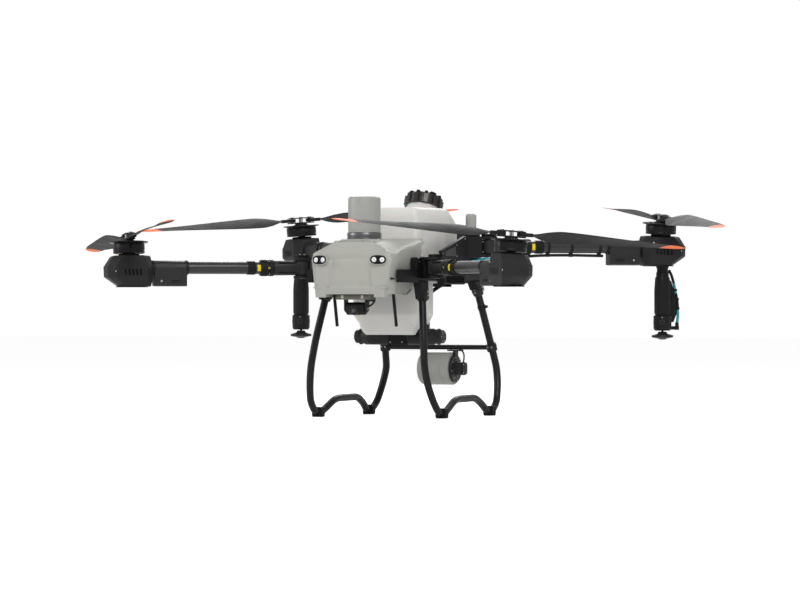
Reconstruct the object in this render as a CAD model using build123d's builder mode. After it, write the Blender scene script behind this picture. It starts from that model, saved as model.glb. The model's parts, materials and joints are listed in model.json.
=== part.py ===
from build123d import *
import os
from math import cos, radians, sin, tan

os.makedirs("parts", exist_ok=True)

# ---------------------------------------------------------------- driving dimensions, mm
# The front faces -Y, +X is the machine's own left, z = 0 is the ground.
MOTOR_X = 702.5
MOTOR_Y = 657.5
FRONT_HINGE = (251, 251, 510)
REAR_HINGE = (230, 235, 585)

TUBE_R = 21
TUBE_WALL = 2
FIT = 0.05  # radial clearance of running fits
GAP = 0.4  # clearance between faces of different bodies

KNUCKLE_R = 28
KNUCKLE_HALF = 26
KNUCKLE_END = 115
HINGE_PIN_R = 8
EAR_R = 30
EAR_OUT = 36
COLLAR_START = 122
COLLAR_LENGTH = 28
COLLAR_R = 28

ROTOR_CANT = 4
NACELLE_TOP = 40  # above the arm's axis, where the motor stands
NACELLE_BACK = 77
SLEEVE_LENGTH = 126

MOTOR_SHAFT_R = 6
BELL_R = 53.5
BELL_LOW = 8
BELL_TOP = 43
DISC_R = 65
DISC_TOP = 48

CLAMP_WIDTH = 34
CLAMP_LENGTH = 102
BLADE_PIN = 34  # from the rotor axis
BLADE_PIN_R = 5
BLADE_MID = 65.8  # above the motor's foot
BLADE_ROOT_HALF = 6.2
PLATE_IN = 6.8
PLATE_OUT = 10.8

BEAM_IN = 159
BEAM_OUT = 186
BEAM_LOW = 465
BEAM_HIGH = 545
FRAME_FRONT = -255
FRAME_BACK = 272
TOWER_TOP = 625
PANEL_IN = 174  # inner face of the side panels above the beams
BATTERY_LOW = 464.5

HOUSING_HALF = 153
SHELL = 3

TANK_HALF = 127
TANK_WALL = 3
NECK_TILT = 21
NECK_Y = 188
NECK_Z = 720
CAP_R = 68
CAP_HEIGHT = 38

LEG_R = 12.5
LEG_WALL = 2
FOOT_Z = 17
CROSSBAR_Y = 316
CROSSBAR_Z = 236

CORNERS = {
    "front_left": (1, -1),
    "front_right": (-1, -1),
    "rear_left": (1, 1),
    "rear_right": (-1, 1),
}
SIDES = {"left": 1, "right": -1}


# ---------------------------------------------------------------- frames of reference
def arm_frame(corner):
    """The plane at an arm's hinge, its x out along the arm and its z up, and the arm's length."""
    side, end = CORNERS[corner]
    hinge = FRONT_HINGE if end < 0 else REAR_HINGE
    start = Vector(side * hinge[0], end * hinge[1], hinge[2])
    run = Vector(side * MOTOR_X, end * MOTOR_Y, hinge[2]) - start
    return Plane(origin=start, x_dir=run, z_dir=(0, 0, 1)), run.length


def up_at(base, x=0, y=0, z=0):
    """A plane parallel to base, moved to the point x, y, z of base."""
    return Plane(origin=base.from_local_coords((x, y, z)), x_dir=base.x_dir, z_dir=base.z_dir)


def along_at(base, x=0, z=0):
    """A plane facing out along base's x, with its own x to base's y and its own y to base's z."""
    return Plane(origin=base.from_local_coords((x, 0, z)), x_dir=base.y_dir, z_dir=base.x_dir)


def spin_sign(corner):
    """+1 where the propeller turns counter-clockwise seen from above."""
    side, end = CORNERS[corner]
    return side * end


def rotor_frame(corner):
    """The plane of the motor's foot, canted sideways so that its z is the rotor's axis."""
    base, length = arm_frame(corner)
    lean = -spin_sign(corner) * tan(radians(ROTOR_CANT))
    return Plane(
        origin=base.from_local_coords((length, 0, NACELLE_TOP)),
        x_dir=base.x_dir,
        z_dir=base.z_dir + base.y_dir * lean,
    )


def section_of(base):
    """A plane through base's z axis for profiles that are revolved: x is the radius, y the height."""
    return Plane(origin=base.origin, x_dir=base.x_dir, z_dir=base.y_dir * -1)


def write(builder, name):
    """Label a finished piece and write its STEP file."""
    builder.part.label = name
    export_step(builder.part, "parts/" + name + ".step")


# ---------------------------------------------------------------- arms
def make_arm(corner):
    base, length = arm_frame(corner)
    with BuildPart() as arm:
        with BuildSketch(up_at(base, z=-KNUCKLE_HALF)):
            Circle(KNUCKLE_R)
        extrude(amount=2 * KNUCKLE_HALF)
        with BuildSketch(along_at(base, 12)):
            RectangleRounded(52, 50, 12)
        with BuildSketch(along_at(base, KNUCKLE_END)):
            Circle(26)
        loft()
        with BuildSketch(along_at(base, KNUCKLE_END - 20)):
            Circle(TUBE_R)
        extrude(amount=length - KNUCKLE_END - 5)
        with BuildSketch(along_at(base, KNUCKLE_END)):
            Circle(TUBE_R - TUBE_WALL)
        extrude(amount=length, mode=Mode.SUBTRACT)
        with BuildSketch(up_at(base, z=-2 * KNUCKLE_HALF)):
            Circle(HINGE_PIN_R + FIT)
        extrude(amount=4 * KNUCKLE_HALF, mode=Mode.SUBTRACT)
    write(arm, corner + "_arm")


def make_collar(corner):
    base, _ = arm_frame(corner)
    with BuildPart() as collar:
        with BuildSketch(along_at(base, COLLAR_START)):
            Circle(COLLAR_R)
            Circle(TUBE_R + FIT, mode=Mode.SUBTRACT)
            with PolarLocations(COLLAR_R + 1, 12):
                Circle(2, mode=Mode.SUBTRACT)
        extrude(amount=COLLAR_LENGTH)
    write(collar, corner + "_lock_collar")


def facet(out, back, half, cut):
    """A rectangle with cut corners, from -back to out along x and half each way across."""
    Polygon(
        (cut - back, -half), (out - cut, -half), (out, cut - half), (out, half - cut),
        (out - cut, half), (cut - back, half), (-back, half - cut), (-back, cut - half),
        align=None,
    )


def make_nacelle(corner):
    """The faceted motor carrier on the tube's end, and the clamp sleeve just inboard of it."""
    base, length = arm_frame(corner)
    with BuildPart() as nacelle:
        with BuildSketch(up_at(base, length, 0, -64)):
            facet(34, 70, 38, 14)
        with BuildSketch(up_at(base, length, 0, -33)):
            facet(80, NACELLE_BACK, 54, 24)
        with BuildSketch(up_at(base, length, 0, 3)):
            facet(82, NACELLE_BACK, 54, 24)
        with BuildSketch(up_at(base, length, 0, NACELLE_TOP + 8)):
            facet(58, 68, 49, 27)
        loft(ruled=True)
        split(bisect_by=rotor_frame(corner), keep=Keep.BOTTOM)
        sleeve_start = length - NACELLE_BACK - 1 - SLEEVE_LENGTH
        with BuildSketch(along_at(base, sleeve_start)):
            Circle(TUBE_R + 3.5)
            with Locations((0, -36)):
                Rectangle(44, 52)
            Polygon((-22, -62), (-8, -62), (-22, -48), align=None, mode=Mode.SUBTRACT)
        extrude(amount=SLEEVE_LENGTH)
        with BuildSketch(along_at(base, sleeve_start - 1)):
            Circle(TUBE_R + FIT)
        extrude(amount=length - 24 - sleeve_start, mode=Mode.SUBTRACT)
    write(nacelle, corner + "_nacelle")


# ---------------------------------------------------------------- motors and propellers
def make_stator(corner):
    base = rotor_frame(corner)
    with BuildPart() as stator:
        with BuildSketch(base):
            Circle(34)
        extrude(amount=6)
        with BuildSketch(up_at(base, z=5)):
            Circle(45)
            with PolarLocations(44, 18):
                Rectangle(12, 3, mode=Mode.SUBTRACT)
        extrude(amount=31)
        with BuildSketch(up_at(base, z=36)):
            Circle(MOTOR_SHAFT_R)
        extrude(amount=DISC_TOP - 37)
    write(stator, corner + "_stator")


def make_bell(corner):
    base = rotor_frame(corner)
    bore = MOTOR_SHAFT_R + FIT
    with BuildPart() as bell:
        with BuildSketch(section_of(base)):
            Polygon(
                (bore, BELL_TOP - 4), (BELL_R - 4.5, BELL_TOP - 4), (BELL_R - 4.5, BELL_LOW),
                (BELL_R, BELL_LOW), (BELL_R, BELL_TOP), (DISC_R, BELL_TOP + 1),
                (DISC_R, DISC_TOP), (bore, DISC_TOP), align=None,
            )
        revolve(axis=Axis(base.origin, base.z_dir))
    write(bell, corner + "_motor_bell")


def make_clamp(corner):
    """Two plates on a foot, with a pin for each blade between them."""
    base = rotor_frame(corner)
    with BuildPart() as clamp:
        with BuildSketch(up_at(base, z=DISC_TOP)):
            RectangleRounded(30, 40, 6)
        extrude(amount=BLADE_MID - PLATE_IN - DISC_TOP)
        for low in (BLADE_MID - PLATE_OUT, BLADE_MID + PLATE_IN):
            with BuildSketch(up_at(base, z=low)):
                RectangleRounded(CLAMP_WIDTH, CLAMP_LENGTH, 14)
            extrude(amount=PLATE_OUT - PLATE_IN)
        with BuildSketch(up_at(base, z=BLADE_MID - PLATE_IN)):
            with Locations((9, 0), (-9, 0)):
                Circle(4)
            with Locations((0, BLADE_PIN), (0, -BLADE_PIN)):
                Circle(BLADE_PIN_R)
        extrude(amount=2 * PLATE_IN)
        with BuildSketch(up_at(base, z=BLADE_MID + PLATE_OUT)):
            with Locations((0, BLADE_PIN), (0, -BLADE_PIN), (9, 0), (-9, 0)):
                RegularPolygon(5.5, 6)
        extrude(amount=3.4)
    write(clamp, corner + "_prop_clamp")


# distance from the rotor's axis, chord, thickness and pitch of each blade section
BLADE_SECTIONS = [
    (58, 26, 11, 2),
    (105, 56, 12, 20),
    (170, 90, 10, 22),
    (290, 88, 8, 17),
    (430, 74, 6, 13),
    (570, 56, 4, 9),
    (635, 34, 2.6, 8),
]


def make_blade(corner, name, way):
    """A twisted blade on its root eye; way is +1 or -1 for the blade on that side of the arm."""
    rotor = rotor_frame(corner)
    base = Plane(
        origin=rotor.from_local_coords((0, 0, BLADE_MID)),
        x_dir=rotor.y_dir * way,
        z_dir=rotor.z_dir,
    )
    with BuildPart() as blade:
        for reach, chord, thick, pitch in BLADE_SECTIONS:
            # x of the section points to the leading edge, which the pitch raises
            section = Plane(
                origin=base.from_local_coords((reach, 0, 0)),
                x_dir=base.y_dir * spin_sign(corner),
                z_dir=base.x_dir * spin_sign(corner),
            )
            with BuildSketch(section):
                Ellipse(chord / 2, thick / 2, rotation=pitch)
        loft()
        with BuildSketch(up_at(base, z=-BLADE_ROOT_HALF)):
            with Locations((BLADE_PIN, 0)):
                Circle(14)
            with Locations((BLADE_PIN + 14, 0)):
                Rectangle(28, 26)
        extrude(amount=2 * BLADE_ROOT_HALF)
        with BuildSketch(up_at(base, z=-20)):
            with Locations((BLADE_PIN, 0)):
                Circle(BLADE_PIN_R + FIT)
        extrude(amount=40, mode=Mode.SUBTRACT)
    write(blade, corner + "_blade_" + name)


for corner_name in CORNERS:
    make_arm(corner_name)
    make_collar(corner_name)
    make_nacelle(corner_name)
    make_stator(corner_name)
    make_bell(corner_name)
    make_clamp(corner_name)
    make_blade(corner_name, "a", 1)
    make_blade(corner_name, "b", -1)


# ---------------------------------------------------------------- sprinklers under the rear motors
SPRAY_SHAFT_R = 4
DISC_LOW = 262
DISC_HIGH = 290


def below_motor(side):
    """The vertical section plane through a rear motor, its y measured from the ground."""
    return Plane(origin=(side * MOTOR_X, MOTOR_Y, 0), x_dir=(1, 0, 0), z_dir=(0, -1, 0))


for side_name, side_sign in SIDES.items():
    plane = below_motor(side_sign)
    with BuildPart() as sprinkler:
        with BuildSketch(plane):
            Polygon(
                (0, 521), (22, 521), (22, 482), (26, 478), (29, 440), (29, 352),
                (32, 346), (32, 300), (27, 293), (SPRAY_SHAFT_R, 293),
                (SPRAY_SHAFT_R, 266), (0, 266), align=None,
            )
        revolve(axis=Axis(plane.origin, (0, 0, 1)))
        # the fin that carries the hose, on the side away from the machine
        arm_plane, _ = arm_frame("rear_" + side_name)
        outboard = arm_plane.x_dir
        across = outboard.cross(Vector(0, 0, 1))
        with BuildSketch(Plane(origin=plane.origin - across * 5, x_dir=outboard, z_dir=across)):
            Polygon((18, 476), (32, 468), (50, 405), (52, 350), (40, 322), (18, 322), align=None)
        extrude(amount=10)
    write(sprinkler, side_name + "_sprinkler")

    with BuildPart() as disc:
        with BuildSketch(plane):
            Polygon(
                (SPRAY_SHAFT_R + FIT, DISC_LOW + 2), (SPRAY_SHAFT_R + FIT, DISC_HIGH), (14, DISC_HIGH),
                (18, 282), (38, 276), (38, 270), (16, 266), (10, DISC_LOW), (6, DISC_LOW),
                align=None,
            )
        revolve(axis=Axis(plane.origin, (0, 0, 1)))
    write(disc, side_name + "_spray_disc")


# ---------------------------------------------------------------- centre frame
def slab(x_low, x_high, y_low, y_high, z_low, z_high, mode=Mode.ADD):
    """A box given by its faces."""
    with Locations(((x_low + x_high) / 2, (y_low + y_high) / 2, (z_low + z_high) / 2)):
        Box(x_high - x_low, y_high - y_low, z_high - z_low, mode=mode)


def slab_pair(x_low, x_high, y_low, y_high, z_low, z_high, mode=Mode.ADD):
    """The same box on both sides of the machine."""
    slab(x_low, x_high, y_low, y_high, z_low, z_high, mode)
    slab(-x_high, -x_low, y_low, y_high, z_low, z_high, mode)


with BuildPart() as frame:
    slab_pair(BEAM_IN, BEAM_OUT, FRAME_FRONT, FRAME_BACK, BEAM_LOW, BEAM_HIGH)
    slab_pair(BEAM_IN, BEAM_OUT, 178, FRAME_BACK, BEAM_HIGH, TOWER_TOP)
    slab_pair(BEAM_OUT, 212, -92, 80, 454, 489)
    slab(-BEAM_IN, BEAM_IN, -160, -146, BEAM_LOW, BEAM_HIGH)
    slab(-BEAM_IN, BEAM_IN, FRAME_BACK - 7, FRAME_BACK, BEAM_LOW, 600)
    # deck under the front housing, with the bars beside it
    slab(-140, 140, -380, -160, 470, 476)
    for sign in (1, -1):
        with BuildSketch(Plane.XY.offset(460)):
            Polygon(
                (sign * 157, -364), (sign * 178, -364), (sign * BEAM_OUT, -300),
                (sign * BEAM_OUT, FRAME_FRONT), (sign * BEAM_IN, FRAME_FRONT), align=None,
            )
        extrude(amount=42)
    # side panels that rise to the towers
    for low in (-BEAM_OUT, PANEL_IN):
        with BuildSketch(Plane.YZ.offset(low)):
            Polygon((-60, 540), (-60, 568), (140, 622), (180, 622), (180, 540), align=None)
        extrude(amount=BEAM_OUT - PANEL_IN)
    # battery tray behind the tank
    slab_pair(84, 89, FRAME_BACK, 392, BATTERY_LOW - GAP, 560)
    slab(-89, 89, FRAME_BACK, 392, BATTERY_LOW - 5, BATTERY_LOW - GAP)
    slab(-89, 89, 388, 392, BATTERY_LOW - GAP, 560)
    slab(-89, 89, FRAME_BACK - 7, FRAME_BACK, BATTERY_LOW - 5, BEAM_LOW)
write(frame, "centre_frame")

with BuildPart() as yokes:
    for corner_name, (side_sign, end_sign) in CORNERS.items():
        hinge_plane, _ = arm_frame(corner_name)
        for low in (-EAR_OUT, KNUCKLE_HALF + GAP):
            with BuildSketch(up_at(hinge_plane, z=low)):
                Circle(EAR_R)
                with Locations((-60, 0)):
                    Rectangle(120, 2 * EAR_R)
            extrude(amount=EAR_OUT - KNUCKLE_HALF - GAP)
        with BuildSketch(up_at(hinge_plane, z=-EAR_OUT)):
            with Locations((-77, 0)):
                Rectangle(86, 2 * EAR_R)
        extrude(amount=2 * EAR_OUT)
        with BuildSketch(up_at(hinge_plane, z=-EAR_OUT)):
            Circle(HINGE_PIN_R)
        extrude(amount=2 * EAR_OUT)
        with BuildSketch(up_at(hinge_plane, z=EAR_OUT)):
            RectangleRounded(44, 40, 8)
        extrude(amount=9)
    # everything inboard of the beams' outer faces is the frame's own space
    slab(-BEAM_OUT - FIT, BEAM_OUT + FIT, -500, 500, 400, 700, Mode.SUBTRACT)
write(yokes, "hinge_yokes")


# ---------------------------------------------------------------- front housing and what it carries
ROOF_EDGE = Vector(153, -366, 556)
ROOF_SLOPE = Vector(0, 236, 55).cross(Vector(-93, 0, 44)).normalized()
FLANK_EDGE = Vector(153, -300, 529)
FLANK_SLOPE = Vector(108, 0, -16).normalized()


def trim_side(edge, slope, inset):
    """Cuts away what lies outside a plane, and outside its mirror image across the middle."""
    for sign in (1, -1):
        way = Vector(sign * slope.X, slope.Y, slope.Z)
        point = Vector(sign * edge.X, edge.Y, edge.Z) - way * inset
        with Locations(Plane(origin=point, z_dir=way)):
            Box(900, 900, 200, align=(Align.CENTER, Align.CENTER, Align.MIN), mode=Mode.SUBTRACT)


with BuildPart() as housing_space:
    with BuildSketch(Plane.YZ.offset(SHELL - HOUSING_HALF)):
        Polygon(
            (-394, 400), (-402, 455), (-396, 529), (-384, 560), (-364, 596), (-200, 602),
            (-100, 602), (-100, 400), align=None,
        )
    extrude(amount=2 * (HOUSING_HALF - SHELL))
    trim_side(ROOF_EDGE, ROOF_SLOPE, SHELL)
    trim_side(FLANK_EDGE, FLANK_SLOPE, SHELL)

with BuildPart() as housing:
    with BuildSketch(Plane.YZ.offset(-HOUSING_HALF)) as side_view:
        Polygon(
            (-398, 421), (-405, 455), (-399, 529), (-388, 560), (-366, 599), (-200, 605),
            (-150, 611), (-118, 604), (-162, 552), (-164, 455), (-230, 421), align=None,
        )
    extrude(amount=2 * HOUSING_HALF)
    trim_side(ROOF_EDGE, ROOF_SLOPE, 0)
    trim_side(FLANK_EDGE, FLANK_SLOPE, 0)
    add(housing_space.part, mode=Mode.SUBTRACT)
    # the roof stops short of the tank between the two shoulders
    slab(-TANK_HALF - 2, TANK_HALF + 2, -143, -100, 560, 620, Mode.SUBTRACT)
write(housing, "front_housing")

RADAR_Y = -284
with BuildPart() as ring:
    with BuildSketch(Plane.XY.offset(606)):
        with Locations((0, RADAR_Y)):
            Circle(58.5)
            Circle(40, mode=Mode.SUBTRACT)
    extrude(amount=23)
write(ring, "radar_ring")

with BuildPart() as dome:
    with BuildSketch(Plane.XY.offset(629)):
        with Locations((0, RADAR_Y)):
            Circle(55)
    extrude(amount=122)
    fillet(dome.faces().sort_by(Axis.Z)[-1].edges(), 9)
write(dome, "radar_dome")

POD_X = 111
with BuildPart() as pods:
    with BuildSketch(Plane.XZ.offset(405.5)):
        with Locations((POD_X, 536), (-POD_X, 536)):
            SlotOverall(61, 35)
    extrude(amount=9)
    with BuildSketch(Plane.XZ.offset(411)):
        with Locations(*[(s * x, 536) for s in (1, -1) for x in (95, 127)]):
            Circle(9.4)
    extrude(amount=9, mode=Mode.SUBTRACT)
write(pods, "light_pods")

with BuildPart() as lenses:
    with BuildSketch(Plane.XZ.offset(411)):
        with Locations(*[(s * x, 536) for s in (1, -1) for x in (95, 127)]):
            Circle(9)
    extrude(amount=5)
write(lenses, "pod_lenses")

GIMBAL_Y = -345
GIMBAL_Z = 372
with BuildPart() as bracket:
    slab(-66, 66, -376, -330, 402, 424)
    slab(-66, 66, -336, -330, 424, 470)
    slab_pair(36, 42, -357, -333, 362, 402)
    with BuildSketch(Plane.YZ.offset(-36)):
        with Locations((GIMBAL_Y, GIMBAL_Z)):
            Circle(5)
    extrude(amount=8)
    with BuildSketch(Plane.YZ.offset(28)):
        with Locations((GIMBAL_Y, GIMBAL_Z)):
            Circle(5)
    extrude(amount=8)
write(bracket, "gimbal_bracket")

with BuildPart() as camera:
    with BuildSketch(Plane.YZ.offset(-35)):
        with Locations((GIMBAL_Y, GIMBAL_Z)):
            Circle(22)
    extrude(amount=70)
    with BuildSketch(Plane(origin=(0, GIMBAL_Y, GIMBAL_Z), x_dir=(1, 0, 0), z_dir=(0, -1, -0.25))):
        Circle(15)
    extrude(amount=30)
    with BuildSketch(Plane.YZ.offset(-36)):
        with Locations((GIMBAL_Y, GIMBAL_Z)):
            Circle(5 + FIT)
    extrude(amount=8.5, mode=Mode.SUBTRACT)
    with BuildSketch(Plane.YZ.offset(27.5)):
        with Locations((GIMBAL_Y, GIMBAL_Z)):
            Circle(5 + FIT)
    extrude(amount=8.5, mode=Mode.SUBTRACT)
write(camera, "gimbal_camera")

ROD_TOP = Vector(111, -300.4, 469.8)
ROD_END = Vector(111, -266, 312)
with BuildPart() as rods:
    for sign in (1, -1):
        top = Vector(sign * ROD_TOP.X, ROD_TOP.Y, ROD_TOP.Z)
        end = Vector(sign * ROD_END.X, ROD_END.Y, ROD_END.Z)
        with BuildSketch(Plane(origin=end, x_dir=(1, 0, 0), z_dir=top - end)):
            Circle(5.5)
        extrude(amount=(top - end).length)
    slab(-200, 200, -400, -200, 470, 500, Mode.SUBTRACT)
write(rods, "antenna_rods")


# ---------------------------------------------------------------- tank, cap and battery
neck_plane = Plane(
    origin=(0, NECK_Y, NECK_Z),
    x_dir=(1, 0, 0),
    z_dir=(0, sin(radians(NECK_TILT)), cos(radians(NECK_TILT))),
)


def tank_top(inset):
    """The side view of the tank's wide upper part, drawn in from the outer faces by inset."""
    Polygon(
        (-140 + inset, 717 - inset), (143 - inset / 5, 717 - inset), (258 - inset, 673 - inset),
        (258 - inset, 460 + inset), (-140 + inset, 460 + inset), align=None,
    )


def tank_sump(inset):
    """The side view of the front part that reaches down past the pump and steps up over it."""
    Polygon(
        (-140 + inset, 470), (-140 + inset, 350 + inset / 4), (-112 + inset * 0.7, 290 + inset * 0.8),
        (-92 + inset * 0.3, 281 + inset), (-56 - inset * 0.6, 281 + inset),
        (-40 - inset * 0.6, 312 + inset), (28 - inset, 312 + inset), (28 - inset, 470), align=None,
    )


REAR_FACET_EDGE = Vector(127, 115, 600)
REAR_FACET = Vector(143, 23, 0).normalized()
KEEL_EDGE = Vector(127, 0, 350)
KEEL_SLOPE = Vector(69, 0, -35).normalized()
tank_bodies = []
for inset in (0, TANK_WALL):
    with BuildPart() as body:
        with BuildSketch(Plane.YZ.offset(inset - TANK_HALF)):
            tank_top(inset)
        extrude(amount=2 * (TANK_HALF - inset))
        with BuildSketch(Plane.YZ.offset(inset - TANK_HALF)):
            tank_sump(inset)
        extrude(amount=2 * (TANK_HALF - inset))
        trim_side(REAR_FACET_EDGE, REAR_FACET, inset)
        trim_side(KEEL_EDGE, KEEL_SLOPE, inset)
    tank_bodies.append(body.part)

with BuildPart() as tank:
    add(tank_bodies[0])
    with BuildSketch(up_at(neck_plane, z=-24)):
        Circle(56)
    extrude(amount=34)
    add(tank_bodies[1], mode=Mode.SUBTRACT)
    with BuildSketch(up_at(neck_plane, z=-60)):
        Circle(50)
    extrude(amount=80, mode=Mode.SUBTRACT)
    # lugs that rest on the frame's beams
    slab_pair(TANK_HALF - 1, 172, -120, 110, BEAM_HIGH + GAP, BEAM_HIGH + 6)
write(tank, "tank")

with BuildPart() as cap:
    with BuildSketch(section_of(neck_plane)):
        Polygon(
            (0, 10.4), (56.6, 10.4), (56.6, 0), (CAP_R, 0), (CAP_R, 32), (CAP_R - 6, CAP_HEIGHT + 10),
            (CAP_R - 20, CAP_HEIGHT + 10), (CAP_R - 24, CAP_HEIGHT + 4), (0, CAP_HEIGHT + 4),
            align=None,
        )
    revolve(axis=Axis(neck_plane.origin, neck_plane.z_dir))
    with BuildSketch(up_at(neck_plane, z=CAP_HEIGHT + 3)):
        RectangleRounded(92, 18, 6)
    extrude(amount=7)
write(cap, "tank_cap")

with BuildPart() as battery:
    slab(-82, 82, FRAME_BACK + 4, 386, BATTERY_LOW, 640)
    chamfer(battery.edges().filter_by(Axis.Z), 8)
    slab(-82, -30, 318, 342, 640, 644)
    slab(30, 82, 318, 342, 640, 644)
    slab(-70, 70, 322, 338, 644, 660)
    slab(-52, 52, 300, 360, 644, 652, Mode.SUBTRACT)
write(battery, "battery")

RTK_X = 175
RTK_Y = 207
with BuildPart() as rtk:
    for sign in (1, -1):
        with BuildSketch(Plane.XY.offset(TOWER_TOP)):
            with Locations((sign * RTK_X, RTK_Y)):
                RectangleRounded(54, 50, 8)
        extrude(amount=18)
        with BuildSketch(Plane.XY.offset(TOWER_TOP + 18)):
            with Locations((sign * RTK_X, RTK_Y)):
                Circle(18.5)
        extrude(amount=57)
write(rtk, "position_antennas")


# ---------------------------------------------------------------- landing gear
def bend_radii(points):
    """The largest tangent arc that each corner of a route has room for."""
    radii = []
    for before, here, after in zip(points, points[1:], points[2:]):
        first = Vector(*here) - Vector(*before)
        second = Vector(*after) - Vector(*here)
        half_turn = radians(first.get_angle(second) / 2)
        radii.append(0.45 * min(first.length, second.length) / tan(half_turn))
    return radii


LEG_TOP = Vector(182, -210, 408)
LEG_KNEE = Vector(203, -246, 265)
FRONT_LEG_WAY = (LEG_KNEE - LEG_TOP).normalized()
REAR_CLAMP = Vector(205, CROSSBAR_Y, CROSSBAR_Z)
REAR_LEG_WAY = (Vector(175, 229, 485) - REAR_CLAMP).normalized()


def leg_route(sign):
    """Front socket, front leg, foot, raised skid, foot, rear leg and rear socket."""
    start = LEG_TOP - FRONT_LEG_WAY * 32
    knee = REAR_CLAMP - REAR_LEG_WAY * 33
    finish = REAR_CLAMP + REAR_LEG_WAY * 237
    points = [
        (start.X, start.Y, start.Z), (203, -246, 265), (213, -262, 174), (222, -252, 110),
        (232, -226, 52), (233, -186, FOOT_Z), (233, -140, FOOT_Z), (230, -100, 34), (227, -40, 62),
        (225, 130, 64), (227, 180, 42), (231, 216, FOOT_Z), (232, 260, FOOT_Z), (230, 302, 45),
        (221, 332, 110), (212, 342, 165), (knee.X, knee.Y, knee.Z), (finish.X, finish.Y, finish.Z),
    ]
    return [(sign * x, y, z) for x, y, z in points]


for side_name, side_sign in SIDES.items():
    route_points = leg_route(side_sign)
    with BuildPart() as leg:
        with BuildLine() as route:
            FilletPolyline(*route_points, radius=bend_radii(route_points))
        with BuildSketch(Plane(origin=route.line @ 0, z_dir=route.line % 0)):
            Circle(LEG_R)
            Circle(LEG_R - LEG_WALL, mode=Mode.SUBTRACT)
        sweep(path=route.line)
    write(leg, side_name + "_leg_frame")

with BuildPart() as sockets:
    for sign in (1, -1):
        with BuildSketch(Plane.XY.offset(BEAM_LOW - FIT)):
            with Locations((sign * 173, -204)):
                Rectangle(26, 66)
        with BuildSketch(Plane.XY.offset(BEAM_LOW - 62)):
            with Locations((sign * 182.5, -211)):
                Rectangle(34, 36)
        loft()
        with BuildSketch(Plane.XY.offset(BEAM_LOW - FIT)):
            with Locations((sign * 175, 236)):
                Rectangle(30, 60)
        with BuildSketch(Plane.XY.offset(BEAM_LOW - 30)):
            with Locations((sign * 181.5, 246)):
                Rectangle(36, 44)
        loft()
    for sign in (1, -1):
        front_way = Vector(sign * FRONT_LEG_WAY.X, FRONT_LEG_WAY.Y, FRONT_LEG_WAY.Z)
        rear_way = Vector(sign * REAR_LEG_WAY.X, REAR_LEG_WAY.Y, REAR_LEG_WAY.Z)
        front_start = Vector(sign * LEG_TOP.X, LEG_TOP.Y, LEG_TOP.Z) - front_way * 32.2
        rear_start = Vector(sign * REAR_CLAMP.X, REAR_CLAMP.Y, REAR_CLAMP.Z) + rear_way * 120
        with BuildSketch(Plane(origin=front_start, z_dir=front_way)):
            Circle(LEG_R + FIT)
        extrude(amount=80, mode=Mode.SUBTRACT)
        with BuildSketch(Plane(origin=rear_start, z_dir=rear_way)):
            Circle(LEG_R + FIT)
        extrude(amount=117.4, mode=Mode.SUBTRACT)
write(sockets, "leg_sockets")

with BuildPart() as feet:
    for sign in (1, -1):
        for low_x, low_y, high_x, high_y in ((233, -186, 233, -140), (231, 216, 232, 260)):
            first = Vector(sign * low_x, low_y, FOOT_Z)
            second = Vector(sign * high_x, high_y, FOOT_Z)
            way = (second - first).normalized()
            middle = (first + second) * 0.5 - way * 12
            foot_plane = Plane(origin=middle, x_dir=(0, 0, 1), z_dir=way)
            with BuildSketch(foot_plane):
                RectangleRounded(2 * FOOT_Z, 38, 8)
            extrude(amount=24)
        with BuildLine() as route:
            FilletPolyline(*leg_route(sign), radius=bend_radii(leg_route(sign)))
        with BuildSketch(Plane(origin=route.line @ 0, z_dir=route.line % 0)):
            Circle(LEG_R + FIT)
        sweep(path=route.line, mode=Mode.SUBTRACT)
write(feet, "rubber_feet")

with BuildPart() as crossbar:
    with BuildSketch(Plane.YZ.offset(-195)):
        with Locations((CROSSBAR_Y, CROSSBAR_Z)):
            Circle(8.5)
    extrude(amount=390)
    for sign in (1, -1):
        way = Vector(sign * REAR_LEG_WAY.X, REAR_LEG_WAY.Y, REAR_LEG_WAY.Z)
        middle = Vector(sign * REAR_CLAMP.X, REAR_CLAMP.Y, REAR_CLAMP.Z)
        with BuildSketch(Plane(origin=middle - way * 12, z_dir=way)):
            Circle(18)
        extrude(amount=26)
        with BuildSketch(Plane(origin=middle - way * 20, z_dir=way)):
            Circle(LEG_R + FIT)
        extrude(amount=40, mode=Mode.SUBTRACT)
write(crossbar, "rear_crossbar")

RADAR_AXIS = (CROSSBAR_Y, 161)
with BuildPart() as rear_radar:
    with BuildSketch(Plane.YZ.offset(-60)):
        with Locations(RADAR_AXIS):
            Circle(57)
    extrude(amount=121)
    fillet(rear_radar.faces().sort_by(Axis.X)[0].edges(), 6)
write(rear_radar, "rear_radar")

with BuildPart() as radar_mount:
    with BuildSketch(Plane.YZ.offset(61)):
        with Locations(RADAR_AXIS):
            Circle(48)
    extrude(amount=10)
    slab(71, 104, 298, 342, 138, 184)
    slab(61, 71, 306, 330, 184, 222)
    slab(40, 92, 304, 328, 222, 227)
write(radar_mount, "rear_radar_mount")


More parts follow.
